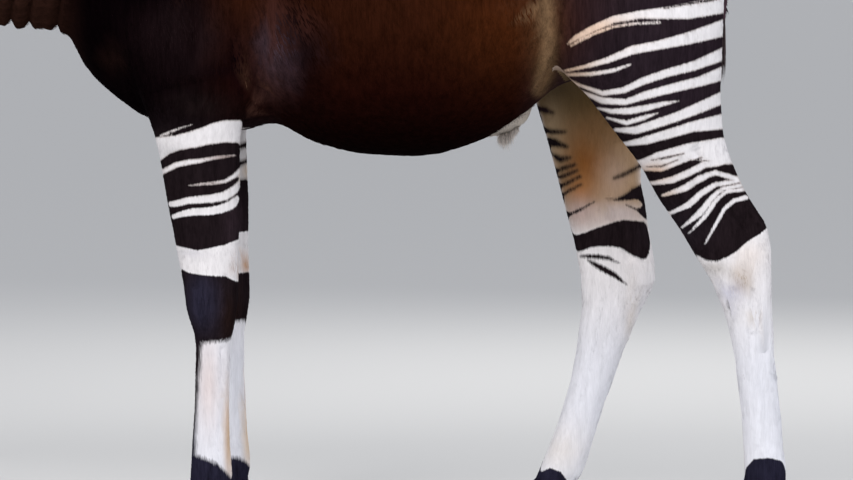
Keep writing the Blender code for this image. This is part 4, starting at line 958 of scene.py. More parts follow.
def keep_share(points, inside):
    """How much each place wants to keep its points."""
    x, y, z = points.T
    keep = 0.1 * (z < 0.8)
    legs = leg_share(points, "front") | leg_share(points, "hind")
    keep = np.maximum(keep, 0.85 * legs * step(2 * EDGE_BREADTH, EDGE_BREADTH, np.abs(inside)))
    keep = np.maximum(keep, 0.3 * head_share(points))
    keep = np.maximum(keep, 0.2 * step(-0.05, -0.2, x) * (z > 0.9))
    keep = np.maximum(keep, 0.6 * np.maximum(ear_share(points), tail_share(points)))
    keep = np.maximum(keep, 0.7 * bell(x - 0.7, 0.08) * bell(z - 0.85, 0.07))
    place = np.stack(in_head(points), axis=1)
    for centre, reach in FEATURES:
        keep = np.maximum(keep, step(1.3 * reach, 0.9 * reach, np.linalg.norm(place - np.array(centre), axis=1)))
    return keep


def thin_skin(obj):
    """Thins the skin where nothing fine lies."""
    points, normals = coordinates(obj.data), coordinates(obj.data, "normal")
    keep = keep_share(points, coat_facts(points, normals)[0])
    add_weights(obj, "keep", keep, 10)
    modifier = obj.modifiers.new("thin", "DECIMATE")
    modifier.ratio = SKIN_FACETS / sum(len(p.vertices) - 2 for p in obj.data.polygons)
    modifier.vertex_group = "keep"
    modifier.invert_vertex_group = True
    modifier.vertex_group_factor = 1.0
    modifier.use_collapse_triangulate = True
    apply_modifiers(obj)
    obj.vertex_groups.clear()


thin_skin(skin)
print("thinned skin", len(skin.data.vertices), "points,", len(skin.data.polygons), "facets")

# %% [markdown]
# The skin gets an unwrap of its own shape. Each part of the body is close to a bent tube, so it is
# unrolled round its own middle line into a rectangle of its own: the turn about the line goes across, and the
# way along it goes up. The ears are two leaves each, front and back. A tuft later takes its root's place.

# %% Unwrap
# Part, and its rectangle in the unwrap: left, low, width, height
CHARTS = {
    "torso": (0.01, 0.01, 0.6, 0.45),
    "neck": (0.63, 0.01, 0.26, 0.25),
    "tail": (0.91, 0.01, 0.03, 0.25),
    "sheath": (0.95, 0.01, 0.04, 0.05),
    "head": (0.63, 0.28, 0.22, 0.21),
    "ear_left": (0.87, 0.28, 0.05, 0.21),
    "ear_right": (0.94, 0.28, 0.05, 0.21),
    "leg_hind_left": (0.01, 0.5, 0.28, 0.48),
    "leg_hind_right": (0.31, 0.5, 0.28, 0.48),
    "leg_front_left": (0.61, 0.52, 0.17, 0.46),
    "leg_front_right": (0.8, 0.52, 0.17, 0.46),
}
CHART_NAMES = list(CHARTS)
CHART_MARGIN = 0.05
EAR_POINTS = Vector((0.4, 0.78, 0.5))  # back, out and up
EAR_FACES = Vector((-0.84, 0.42, 0.12))  # forward and out
EAR_PLACE = (0.036, 0.054, 0.044)
EAR_LENGTH = 0.235


def ear_axes(side):
    """Root of an ear, and the directions along it, across it and out of its cup."""
    along = Vector((EAR_POINTS.x, side * EAR_POINTS.y, EAR_POINTS.z)).normalized()
    faces = Vector((EAR_FACES.x, side * EAR_FACES.y, EAR_FACES.z))
    faces = (faces - along * faces.dot(along)).normalized()
    return on_head(EAR_PLACE, side), along, along.cross(faces), faces


def sign_of(name):
    """-1 for a part of the left side and 1 for one of the right."""
    return -1 if name.endswith("left") else 1


def part_tree():
    """A tree of the solids' faces, and the chart of each face."""
    points, faces, charts = [], [], []
    for name in (*FLESH, "tail", "sheath"):
        mesh = solids[name].data
        first = len(points)
        points.extend(v.co.copy() for v in mesh.vertices)
        chart = name.removesuffix("_upper").removesuffix("_lower")
        for polygon in mesh.polygons:
            faces.append([first + k for k in polygon.vertices])
            charts.append(CHART_NAMES.index(chart))
    return BVHTree.FromPolygons(points, faces), charts


def chart_of(points):
    """Which chart each place belongs to, by the solid nearest to it."""
    tree, charts = part_tree()
    return np.array([charts[tree.find_nearest(p)[2]] for p in points])


print("rectangles in the unwrap", len(CHARTS))

# %% [markdown]
# Each chart has its own middle line. The cut where the tube is opened lies at half a turn, and a facet that
# crosses it is kept whole by counting its corners' turns from its own middle.

# %% Unrolling


def turn_and_way(points, chart, facing):
    """Turn about a part's middle line, and share of the way along it."""
    x, y, z = points.T
    if chart.startswith("leg"):
        front, rear = leg_edges(chart[4:], z)
        out = np.interp(z, (0.0, 0.4, 0.9), (0.109, 0.115, 0.13)) * sign_of(chart)
        return np.arctan2(x - (front + rear) / 2, y - out), z / 1.35
    if chart == "head":
        along, out, up = in_head(points)
        return np.arctan2(y, up + 0.01), (along + 0.12) / 0.62
    if chart.startswith("ear"):
        root, along, across, _ = ear_axes(sign_of(chart))
        offset = points - np.array(root)
        leaf = np.where(facing, 1.6, -1.6)
        return offset @ np.array(across) / 0.09 * 1.4 + leaf, offset @ np.array(along) / 0.27 + 0.05
    if chart == "tail":
        return np.arctan2(y, x - ORIGIN.x - 0.945), (z - 0.85) / 0.5
    if chart == "sheath":
        return np.arctan2(y, z - 0.768), (x - 0.52) / 0.2
    if chart == "neck":
        return np.arctan2(y, z - np.interp(x, (-0.6, 0.0), (1.13, 1.2))), (x + 0.72) / 0.75
    return np.arctan2(y, z - 1.08), (x + 0.25) / 1.3


def unwrapped(points, charts, centres, facing):
    """Places in the unwrap; each point's turn is counted from its own facet's, so that no facet is torn."""
    places = np.zeros((len(points), 2))
    for number, name in enumerate(CHART_NAMES):
        mine = charts == number
        if not mine.any():
            continue
        turn, way = turn_and_way(points[mine], name, facing[mine])
        base, _ = turn_and_way(centres[mine], name, facing[mine])
        turn = base + (turn - base + np.pi) % (2 * np.pi) - np.pi
        across = 0.5 + turn / (2 * np.pi)
        left, low, width, height = CHARTS[name]
        room = 1 - 2 * CHART_MARGIN
        across, up = CHART_MARGIN + room * across, CHART_MARGIN + room * np.clip(way, -0.03, 1.03)
        places[mine] = np.stack([left + width * across, low + height * up], axis=1)
    return places


points, normals = coordinates(skin.data), coordinates(skin.data, "normal")
triangles = np.empty(len(skin.data.loops), np.int32)
skin.data.loops.foreach_get("vertex_index", triangles)
triangles = triangles.reshape(-1, 3)
corners = points[triangles]
centres = corners.mean(axis=1)
face_charts = chart_of(centres)
face_normals = np.cross(corners[:, 1] - corners[:, 0], corners[:, 2] - corners[:, 0])
face_areas = np.linalg.norm(face_normals, axis=1) / 2
face_normals /= np.maximum(2 * face_areas, 1e-12)[:, None]
ear_facing = np.zeros(len(triangles), bool)
for word, side in SIDES:
    mine = face_charts == CHART_NAMES.index("ear_" + word)
    ear_facing[mine] = face_normals[mine] @ np.array(ear_axes(side)[3]) > 0
each = np.repeat(np.arange(len(triangles)), 3)
unwrap = unwrapped(corners.reshape(-1, 3), face_charts[each], centres[each], ear_facing[each])
layer = skin.data.uv_layers.new(name="OFBake")
layer.uv.foreach_set("vector", unwrap.astype(np.float32).ravel())
print("unwrapped,", {name: int((face_charts == k).sum()) for k, name in enumerate(CHART_NAMES)})

# %% [markdown]
# One material serves both the skin and its tufts, so that their markings agree. It reads the edge distance
# and the two colours. Fine noise shifts the edge by a millimetre, as the tips of the hairs do. Noise drawn
# out along the lie of the hair gives streaks in colour, gloss and height: upright ones on the legs and
# flanks, level ones along the back, neck and head. A small class first makes the wiring of nodes short.

# %% Wiring nodes


class Wires:
    """Short calls for a material's nodes."""

    def __init__(self, material):
        self.tree = material.node_tree
        self.shader = self.tree.nodes["Principled BSDF"]

    def node(self, kind, values=(), **settings):
        made = self.tree.nodes.new("ShaderNode" + kind)
        for name, value in settings.items():
            setattr(made, name, value)
        for socket, value in dict(values).items():
            if hasattr(value, "links"):
                self.tree.links.new(value, made.inputs[socket])
            else:
                made.inputs[socket].default_value = value
        return made

    def attribute(self, name, output="Fac"):
        return self.node("Attribute", attribute_name=name).outputs[output]

    def maths(self, operation, first, second=0.0, third=0.0):
        return self.node("Math", {0: first, 1: second, 2: third}, operation=operation).outputs[0]

    def add(self, first, second):
        return self.maths("ADD", first, second)

    def times(self, first, second):
        return self.maths("MULTIPLY", first, second)

    def far(self, level, up):
        return self.maths("SQRT", self.add(self.times(level, level), self.times(up, up)))

    def mix(self, share, first, second, blend="MIX"):
        values = {0: share, 6: first, 7: second}
        return self.node("Mix", values, data_type="RGBA", blend_type=blend).outputs[2]

    def shaded(self, colour, shade):
        grey = self.node("CombineColor", {0: shade, 1: shade, 2: shade}).outputs[0]
        return self.mix(1.0, colour, grey, "MULTIPLY")

    def spread(self, value, low, high, to_low=0.0, to_high=1.0):
        values = {0: value, 1: low, 2: high, 3: to_low, 4: to_high}
        return self.node("MapRange", values).outputs[0]

    def noise(self, scale, detail=2.0, stretch=(1.0, 1.0, 1.0), roughness=0.5):
        place = self.node("Mapping", {0: self.node("TexCoord").outputs["Object"], 3: stretch}).outputs[0]
        values = {"Vector": place, "Scale": scale, "Detail": detail, "Roughness": roughness}
        return self.node("TexNoise", values).outputs[0]

    def bump(self, height, strength, distance):
        values = {"Strength": strength, "Distance": distance, "Height": height}
        self.join(self.node("Bump", values).outputs[0], "Normal")

    def join(self, value, socket):
        self.tree.links.new(value, self.shader.inputs[socket])


print("nodes are wired by", [name for name in vars(Wires) if not name.startswith("_")])

# %% Coat material
EDGE_SOFTNESS = 0.0014
EDGE_RAGGEDNESS = 0.0036


def coat_material():
    """Short, glossy, close-lying hair."""
    material, shader = new_material("coat")
    wires = Wires(material)
    upright = wires.attribute("upright")
    fine_up = wires.noise(1.0, 2.0, (520.0, 520.0, 48.0))
    fine_level = wires.noise(1.0, 2.0, (48.0, 520.0, 520.0))
    broad_up = wires.noise(1.0, 3.0, (95.0, 95.0, 13.0))
    broad_level = wires.noise(1.0, 3.0, (14.0, 95.0, 95.0))
    fine = wires.node("Mix", {0: upright, 2: fine_level, 3: fine_up}).outputs[0]
    broad = wires.node("Mix", {0: upright, 2: broad_level, 3: broad_up}).outputs[0]
    ragged = wires.times(wires.maths("SUBTRACT", fine, 0.5), EDGE_RAGGEDNESS)
    edge = wires.add(wires.attribute("inside"), ragged)
    pale = wires.spread(edge, -EDGE_SOFTNESS, EDGE_SOFTNESS)
    colour = wires.mix(pale, wires.attribute("dark_coat", "Color"), wires.attribute("pale_coat", "Color"))
    streaks = wires.add(wires.spread(fine, 0.25, 0.75, -0.5, 0.5), wires.spread(broad, 0.3, 0.7, -0.5, 0.5))
    depth = wires.maths("MULTIPLY_ADD", pale, -0.36, 0.48)
    wires.join(wires.shaded(colour, wires.add(wires.times(streaks, depth), 1.0)), "Base Color")
    gloss = wires.spread(wires.add(broad, wires.times(pale, 0.8)), 0.2, 1.5, 0.4, 0.7)
    wires.join(gloss, "Roughness")
    wires.bump(wires.add(fine, wires.times(broad, 1.4)), 0.45, 0.0006)
    shader.inputs["Specular IOR Level"].default_value = 0.0
    shader.inputs["Sheen Weight"].default_value = 0.004
    shader.inputs["Sheen Roughness"].default_value = 0.35
    shader.inputs["Sheen Tint"].default_value = (0.9, 0.92, 1.0, 1.0)
    return material


def store(mesh, name, values):
    """Keeps numbers or colours on the points of a mesh."""
    if values.ndim == 1:
        mesh.attributes.new(name, "FLOAT", "POINT").data.foreach_set("value", values.astype(np.float32))
        return
    padded = np.concatenate([values, np.ones((len(values), 1))], axis=1)
    mesh.attributes.new(name, "FLOAT_COLOR", "POINT").data.foreach_set("color", padded.astype(np.float32).ravel())


def upright_share(points):
    """1 where the hair hangs, 0 where it lies level."""
    x, y, z = points.T
    return step(-0.3, -0.1, x) * step(1.4, 1.25, z)


def store_coat(mesh, points, normals, order=slice(None)):
    """Keeps what the coat's material reads. The order says which place each point of the mesh looks at."""
    facts = (*coat_facts(points, normals), upright_share(points))
    for name, values in zip(("inside", "dark_coat", "pale_coat", "upright"), facts):
        store(mesh, name, values[order])


coat = coat_material()
store_coat(skin.data, points, normals)
skin.data.materials.clear()
skin.data.materials.append(coat)
skin.data.shade_smooth()
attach(skin, "root")
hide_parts(*FLESH, "tail", "sheath")
print("attributes on the skin", len(skin.data.attributes))

# %% [markdown]
# A short coat that lies flat is mostly gloss and grain, and the material draws those. But at every outline, and
# at every fold, real hair breaks the form. So the whole skin also carries tufts: thin closed spikes that are
# rooted just under the skin and lie along it, one over the next. First comes the lie of the hair. It runs
# backwards along the spine and belly, slants down the flanks, hangs on the legs and tail, sweeps back over
# the neck, runs from the nose to the crown on the head, and out to the tips of the ears.

# %% Lie of the hair
FLANK_LIE = (0.45, 0.0, -0.9)
SPINE_LIE = (1.0, 0.0, -0.1)
BELLY_LIE = (1.0, 0.0, 0.0)
LEG_LIE = (0.1, 0.0, -1.0)
NECK_LIE = (0.8, 0.0, -0.6)
CHEEK_LIE = (0.9, 0.0, 0.15)
TAIL_LIE = (0.25, 0.0, -1.0)
SWIRL = 0.16  # how far the lie wanders, as an angle


def towards(ways, share, way):
    """Turns directions towards another, each by its own share."""
    ways += share[:, None] * (np.array(way) - ways)


def flattened(ways, normals):
    """The same directions without what leaves the skin."""
    return ways - normals * (ways * normals).sum(axis=1)[:, None]


def lie_of_hair(points, normals, charts, turn):
    """The way the hair points at each place, along the skin."""
    x, y, z = points.T
    lie = np.tile(np.array(FLANK_LIE), (len(points), 1))
    towards(lie, step(0.4, 0.9, normals[:, 2]), SPINE_LIE)
    towards(lie, step(0.4, 0.9, -normals[:, 2]), BELLY_LIE)
    for number, name in enumerate(CHART_NAMES):
        mine = (charts == number).astype(float)
        if name.startswith("leg"):
            towards(lie, mine * step(1.05, 0.85, z), LEG_LIE)
        elif name == "neck":
            towards(lie, mine * step(-0.1, -0.25, x), NECK_LIE)
        elif name == "head":
            along, out, up = in_head(points)
            towards(lie, mine, -ALONG_HEAD)
            towards(lie, mine * step(0.02, -0.06, up) * step(0.34, 0.2, along), CHEEK_LIE)
        elif name.startswith("ear"):
            towards(lie, mine, ear_axes(sign_of(name))[1])
        elif name in ("tail", "sheath"):
            towards(lie, mine, TAIL_LIE)
    lie = flattened(lie, normals)
    weak = np.linalg.norm(lie, axis=1) < 0.05
    lie[weak] = np.cross(normals[weak], (0.0, 1.0, 0.0)) + 1e-6
    lie = unit(lie)
    turn = turn + SWIRL * wander(points, 11.0, 0.7)
    return lie * np.cos(turn)[:, None] + np.cross(normals, lie) * np.sin(turn)[:, None]


print("at the middle of the flank the hair points", np.round(unit(np.array([FLANK_LIE]))[0], 2))

# %% [markdown]
# A tuft has seven points: three round its root, which is sunk into the skin, three round its thick middle, and
# one at its tip. It is flat below and ridged above. Its size depends on the part: longest on the trunk and
# neck, smallest on the face and feet. Roots are dealt out evenly by area, with a fixed seed.

# %% Shape of a tuft
# Tufts to a square metre, length, breadth and lift of the tip in metres
TUFTS = {
    "torso": (19_000, 0.015, 0.0018, 0.0005),
    "neck": (22_000, 0.015, 0.0019, 0.0008),
    "tail": (60_000, 0.011, 0.0014, 0.0008),
    "sheath": (60_000, 0.011, 0.0014, 0.001),
    "head": (60_000, 0.0064, 0.001, 0.0004),
    "ear": (46_000, 0.008, 0.001, 0.0005),
    "leg": (48_000, 0.0085, 0.00115, 0.00035),
}
TUFT_TRIANGLES = np.array([
    (0, 2, 1), (0, 1, 4), (0, 4, 3), (1, 2, 5), (1, 5, 4), (2, 0, 3), (2, 3, 5), (3, 4, 6), (4, 5, 6), (5, 3, 6),
])
TUFT_PATCH = 0.0015 * np.array([(-1, -1), (1, -1), (0, -0.6), (-1, 0.3), (1, 0.3), (0, 0.5), (0, 1)])
ROOT_DEPTH = 0.0004
PIECE_TUFTS = 19_500
COLOUR_REACH = 0.8  # how far along its hair a tuft still looks its colour up


def tuft_points(roots, normals, lie, length, breadth, lift):
    """Seven points to each tuft, and the way that each of them faces: nearly as the skin does."""
    across = np.cross(normals, lie) * breadth[:, None]
    up = normals * breadth[:, None]
    ahead, lift = lie * length[:, None], normals * lift[:, None]
    base, belly = roots - normals * ROOT_DEPTH, roots + 0.42 * ahead + 0.4 * lift
    made = []
    for middle, wide, thick in ((base, 0.4, 0.25), (belly, 0.5, 0.36)):
        made += [middle - across * wide, middle + across * wide, middle + up * thick]
    made.append(roots + ahead + lift)
    beside = 0.35 * np.cross(normals, lie)
    left, right = normals - beside, normals + beside
    faced = np.stack([left, right, normals, left, right, normals, normals], axis=1).reshape(-1, 3)
    return np.stack(made, axis=1).reshape(-1, 3), unit(faced)


def mesh_of(name, points, triangles, faced=None):
    """A mesh straight from arrays. Its points may be told which way to face for the light."""
    mesh = bpy.data.meshes.new(name)
    mesh.vertices.add(len(points))
    mesh.vertices.foreach_set("co", points.astype(np.float32).ravel())
    mesh.loops.add(len(triangles) * 3)
    mesh.loops.foreach_set("vertex_index", triangles.astype(np.int32).ravel())
    mesh.polygons.add(len(triangles))
    mesh.polygons.foreach_set("loop_start", np.arange(0, len(triangles) * 3, 3, dtype=np.int32))
    mesh.update(calc_edges=True)
    mesh.shade_smooth()
    if faced is not None:
        mesh.normals_split_custom_set_from_vertices(faced.astype(np.float32))
    return mesh


def deal_roots(faces, density, seed):
    """Evenly dealt roots on some facets: places, normals, facets."""
    rng = np.random.default_rng(seed)
    total = np.cumsum(face_areas[faces] * density)
    count = int(total[-1])
    drawn = (np.arange(count) + rng.random(count)) * total[-1] / count
    chosen = faces[np.minimum(np.searchsorted(total, drawn), len(faces) - 1)]
    share = rng.random((count, 2))
    share = np.where(share.sum(axis=1, keepdims=True) > 1, 1 - share, share)
    weights = np.column_stack([1 - share.sum(axis=1), share])[:, :, None]
    at = triangles[chosen]
    return (points[at] * weights).sum(axis=1), unit((normals[at] * weights).sum(axis=1)), chosen, rng


def add_tufts(name, roots, root_normals, places, lie, length, breadth, lift):
    """Tufts as pieces of their own, each below the size that a piece may have."""
    for number, first in enumerate(range(0, len(roots), PIECE_TUFTS)):
        part = slice(first, first + PIECE_TUFTS)
        count = len(roots[part])
        shape = (values[part] for values in (roots, root_normals, lie, length, breadth, lift))
        made, faced = tuft_points(*shape)
        corners = (7 * np.arange(count)[:, None, None] + TUFT_TRIANGLES).reshape(-1, 3)
        mesh = mesh_of(f"{name}_{number + 1}", made, corners, faced)
        uv = (places[part][:, None] + TUFT_PATCH).reshape(-1, 2)[corners.ravel()]
        mesh.uv_layers.new(name="OFBake").uv.foreach_set("vector", uv.astype(np.float32).ravel())
        reach = COLOUR_REACH * (lie[part] * length[part][:, None])[:, None]
        looks = roots[part][:, None] + reach * np.array([0, 0.5, 1.0])[:, None]
        order = (3 * np.arange(count)[:, None] + np.array([0, 0, 0, 1, 1, 1, 2])).ravel()
        store_coat(mesh, looks.reshape(-1, 3), np.repeat(root_normals[part], 3, axis=0), order)
        piece = add_object(mesh.name, mesh, coat)
        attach(piece, "root")


print("a tuft has", len(TUFT_TRIANGLES), "triangles")

# %% [markdown]
# The coat is laid part by part. No hair grows on the eyes, in the nostrils or between the hooves, and it is
# shorter towards the nose and the feet.

# %% Laying the coat
BARE = [((0.168, 0.05, 0.04), 0.031), ((0.462, 0.02, 0.004), 0.016)]  # round the eye and in the nostril
UNDER_FOOT, FACES_DOWN = 0.085, -0.6  # between the hooves: below this height, facing down by this much
LIE_SPREAD = math.radians(11)


def short_hair(points):
    """Share of the full length: shorter on the muzzle and near the hooves."""
    along, out, up = in_head(points)
    share = 1 - 0.45 * step(0.26, 0.42, along)
    share *= 1 - 0.35 * step(0.55, 0.25, points[:, 2])
    return share * (1 - 0.55 * step(1.02, 0.97, points[:, 2]) * (points[:, 0] < -0.1))


def bare(points):
    """Where no hair grows."""
    place = np.stack(in_head(points), axis=1)
    none = (points[:, 2] < UNDER_FOOT) & (face_normals[:, 2] < FACES_DOWN)
    for centre, reach in BARE:
        none |= np.linalg.norm(place - np.array(centre), axis=1) < reach
    return none


laid = 0
for number, name in enumerate(CHART_NAMES):
    density, length, breadth, lift = TUFTS[name.split("_")[0]]
    faces = np.nonzero((face_charts == number) & ~bare(centres))[0]
    level = density * np.ones(len(faces))
    if name.startswith("leg"):
        level *= 1 - 0.5 * step(0.78, 0.92, centres[faces, 2])
    roots, root_normals, facets, rng = deal_roots(faces, level, 40 + number)
    count = len(roots)
    grown = short_hair(roots) * (1 + 0.25 * rng.uniform(-1, 1, count))
    if name.startswith("leg"):
        grown *= 1 + 0.55 * step(0.78, 0.95, roots[:, 2])
    lie = lie_of_hair(roots, root_normals, face_charts[facets], LIE_SPREAD * rng.uniform(-1, 1, count))
    wide = breadth * np.sqrt(grown) * (1 + 0.2 * rng.uniform(-1, 1, count))
    places = unwrapped(roots, face_charts[facets], centres[facets], ear_facing[facets])
    lifted = lift * grown * (0.4 + 1.9 * rng.random(count) ** 3)
    add_tufts("coat_" + name, roots, root_normals, places, lie, length * grown, wide, lifted)
    laid += count
    print("coat of", name, count, "tufts on", round(face_areas[faces].sum(), 3), "square metres")
print("tufts laid", laid)

# %% [markdown]
# The eyes are large, dark and wet. Each ball bulges at its front, where the clear window over the iris stands
# out. The iris is almost black brown with fine spokes, and its pupil lies level, as in most hoofed animals.
# The ball keeps two numbers on its points, how far level and how far up from the middle of its gaze, and the
# material draws iris and pupil from them.

# %% Eyes
EYE_PLACE = (0.168, 0.058, 0.04)
EYE_RADIUS, EYE_PLAY = 0.024, 0.0003  # the ball keeps that much clear of its solid
WINDOW_BREADTH, WINDOW_RISE = 0.0125, 0.001
IRIS_RADIUS = 0.015
PUPIL = (0.0078, 0.0042)
LID_TILT = math.radians(12)


def eye_axes(side):
    """Middle of the eye, and its directions: gaze, forward and up."""
    gaze = Vector((0.0, side, 0.0))
    forward = ALONG_HEAD * math.cos(LID_TILT) + UP_HEAD * math.sin(LID_TILT)
    return on_head(EYE_PLACE, side), gaze, forward, gaze.cross(forward) * side


def eye_material():
    """A wet ball with a dark iris and a level pupil."""
    material, shader = new_material("eyeball", roughness=0.06)
    wires = Wires(material)
    level, up = wires.attribute("level"), wires.attribute("up")
    far = wires.far(level, up)
    flat = wires.far(wires.maths("DIVIDE", level, PUPIL[0]), wires.maths("DIVIDE", up, PUPIL[1]))
    around = wires.times(wires.maths("ARCTAN2", up, level), 9.0)
    place = wires.node("CombineXYZ", {0: around, 1: wires.times(far, 160.0)}).outputs[0]
    spokes = wires.node("TexNoise", {"Vector": place, "Scale": 1.0, "Detail": 3.0}).outputs[0]
    iris = wires.mix(spokes, (0.012, 0.005, 0.003, 1.0), (0.06, 0.024, 0.01, 1.0))
    white = wires.mix(wires.noise(220.0), (0.03, 0.018, 0.014, 1.0), (0.07, 0.045, 0.036, 1.0))
    colour = wires.mix(wires.spread(far, IRIS_RADIUS - 0.001, IRIS_RADIUS + 0.0006), iris, white)
    colour = wires.mix(wires.spread(flat, 0.92, 1.06), (0.0022, 0.0022, 0.0032, 1.0), colour)
    wires.join(colour, "Base Color")
    shader.inputs["Specular IOR Level"].default_value = 0.2
    shader.inputs["Coat Weight"].default_value = 0.5
    shader.inputs["Coat Roughness"].default_value = 0.02
    return material


eyeball = eye_material()
for word, side in SIDES:
    middle, gaze, forward, up = eye_axes(side)
    shape = bmesh.new()
    bmesh.ops.create_uvsphere(shape, u_segments=48, v_segments=32, radius=1.0)
    turn = Matrix((forward, up, gaze)).transposed()
    level_values, up_values = [], []
    for vertex in shape.verts:
        far = math.hypot(vertex.co.x, vertex.co.y) * EYE_RADIUS
        rise = WINDOW_RISE * math.exp(-((far / WINDOW_BREADTH) ** 4)) if vertex.co.z > 0 else 0.0
        level_values.append(vertex.co.x * EYE_RADIUS if vertex.co.z > 0 else 1.0)
        up_values.append(vertex.co.y * EYE_RADIUS)
        vertex.co = middle + turn @ (vertex.co * (EYE_RADIUS + rise - EYE_PLAY))
    bmesh.ops.recalc_face_normals(shape, faces=shape.faces)
    mesh = mesh_from(shape, "eyeball_" + word)
    store(mesh, "level", np.array(level_values))
    store(mesh, "up", np.array(up_values))
    piece = add_object(mesh.name, mesh, eyeball)
    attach(piece, "root")
    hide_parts("eye_" + word)
print("eyes", len(SIDES), "of", 2 * EYE_RADIUS * 1000, "mm")

# %% [markdown]
# Long hair bends, so it needs a better shape than a tuft: a closed spike with four corners at each of four
# steps and one point at its tip. One mesh holds all locks of a place. It keeps on its points how far along its
# lock each lies and a number of the lock's own, from which the material shades it.

# %% Locks of hair
LOCK_STEPS = ((0.0, 0.75), (0.3, 1.0), (0.6, 0.75), (0.85, 0.4))  # share of the length, share of the breadth
LOCK_WALL = [(4 * step_number + k, 4 * step_number + (k + 1) % 4) for step_number in range(3) for k in range(4)]
LOCK_FACES = np.array(
    [(0, 2, 1), (0, 3, 2)]
    + [face for a, b in LOCK_WALL for face in ((a, b, b + 4), (a, b + 4, a + 4))]
    + [(12 + k, 12 + (k + 1) % 4, 16) for k in range(4)]
)


def lock_mesh(name, roots, ways, bends, lengths, breadths, flatness=0.45):
    """Tapered bent locks of hair: a closed spike of seventeen points each, which bends more towards its tip."""
    across = unit(np.cross(ways, bends))
    flat = np.cross(across, ways)
    lengths, breadths = lengths[:, None], breadths[:, None]
    made = []
    for share, wide in LOCK_STEPS:
        middle = roots + ways * lengths * share + bends * lengths * share**2
        half = breadths * wide / 2
        beside, over = across * half, flat * half * flatness
        made += [middle + beside, middle + over, middle - beside, middle - over]
    made.append(roots + ways * lengths + bends * lengths)
    corners = (17 * np.arange(len(roots))[:, None, None] + LOCK_FACES).reshape(-1, 3)
    mesh = mesh_of(name, np.stack(made, axis=1).reshape(-1, 3), corners)
    store(mesh, "way", np.tile(np.repeat([0.0, 0.3, 0.6, 0.85, 1.0], [4, 4, 4, 4, 1]), len(roots)))
    store(mesh, "own", np.repeat(np.random.default_rng(len(roots)).random(len(roots)), 17))
    return mesh


def hair_material(name, root_colour, tip_colour, tips_from=0.3, roughness=0.45):
    """Long hair: another colour towards its tips, each lock a little lighter or darker than the next."""
    material, shader = new_material(name, roughness=roughness)
    wires = Wires(material)
    colour = wires.mix(wires.spread(wires.attribute("way"), tips_from, 1.0), (*root_colour, 1.0), (*tip_colour, 1.0))
    own = wires.add(wires.attribute("own"), wires.noise(1.0, 2.0, (700.0, 700.0, 60.0)))
    wires.join(wires.shaded(colour, wires.spread(own, 0.3, 1.7, 0.45, 1.55)), "Base Color")
    shader.inputs["Specular IOR Level"].default_value = 0.25
    return material


def add_locks(name, material, slot, *shape):
    """Long locks as a piece."""
    mesh = lock_mesh(name, *shape)
    piece = add_object(name, mesh, material)
    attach(piece, "root")


print("a lock has", len(LOCK_FACES), "triangles")

# %% [markdown]
# Bare black skin rims the lids. Each rim is a round bead that follows the gap between the lids, just outside
# the ball, so that the eye looks set into the head. The lashes are the animal's best known charm: long, dark
# and curved, rooted along the upper rim. They are locks too, bent outwards and down.

# %% Lids and lashes
LASHES = 34
LASH_LENGTH, LASH_BREADTH = 0.0125, 0.0007
LID_OPENING = (0.0225, 0.0145)
RIM_REACH, LASH_REACH = 0.0262, 0.0268  # from the middle of the eye
RIM_TURNS, RIM_THICK = 56, 0.0017


def rim_point(side, angle, reach):
    """A point on the rim of the lids; angle 0 is at the front corner and a quarter turn is at the top."""
    middle, gaze, forward, up = eye_axes(side)
    level, high = LID_OPENING[0] * math.cos(angle), LID_OPENING[1] * math.sin(angle)
    depth = math.sqrt(max(reach**2 - level**2 - high**2, 0.0))
    return middle + forward * level + up * high + gaze * depth


rim_material, _ = new_material("lid_rim", (0.006, 0.0045, 0.0045), 0.32)
rim_wires = Wires(rim_material)
rim_colour = rim_wires.mix(rim_wires.noise(600.0), (0.004, 0.003, 0.003, 1.0), (0.013, 0.009, 0.009, 1.0))
rim_wires.join(rim_colour, "Base Color")
lash_material = hair_material("lashes", (0.006, 0.005, 0.005), (0.012, 0.009, 0.008))
for word, side in SIDES:
    shape = bmesh.new()
    turns = RIM_TURNS
    path = [rim_point(side, 2 * math.pi * k / turns, RIM_REACH) for k in range(turns)]
    rows = []
    for k, place in enumerate(path):
        ahead = (path[(k + 1) % turns] - path[k - 1]).normalized()
        out = (place - on_head(EYE_PLACE, side)).normalized()
        beside = ahead.cross(out).normalized()
        thick = RIM_THICK * (1 + 0.25 * math.sin(2 * math.pi * k / turns))
        ring = [place + (out * math.cos(t) + beside * math.sin(t)) * thick for t in (0.0, 1.05, 2.1, 3.15, 4.2, 5.25)]
        rows.append([shape.verts.new(point) for point in ring])
    for k in range(turns):
        for j in range(6):
            low, high = rows[k], rows[(k + 1) % turns]
            shape.faces.new((low[j], low[(j + 1) % 6], high[(j + 1) % 6], high[j]))
    bmesh.ops.recalc_face_normals(shape, faces=shape.faces)
    mesh = mesh_from(shape, "lid_rim_" + word)
    piece = add_object(mesh.name, mesh, rim_material)
    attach(piece, "root")
    middle, gaze, forward, up = eye_axes(side)
    rng = np.random.default_rng(7)
    angles = np.linspace(math.radians(14), math.radians(160), LASHES)
    roots = np.array([rim_point(side, a, LASH_REACH) for a in angles])
    fan = [(gaze * 0.95 + up * 0.3 + forward * 0.55 * math.cos(a)).normalized() for a in angles]
    ways = np.array(fan) + rng.uniform(-0.06, 0.06, (LASHES, 3))
    bends = np.tile(np.array(-UP_HEAD * 0.1 + ALONG_HEAD * 0.12), (LASHES, 1))
    lengths = LASH_LENGTH * (0.65 + 0.35 * np.sin(angles)) * rng.uniform(0.85, 1.15, LASHES)
    shape = (roots, ways, bends, lengths, np.full(LASHES, LASH_BREADTH), 1.0)
    add_locks("lashes_" + word, lash_material, "tuft", *shape)
print("lashes", 2 * LASHES)

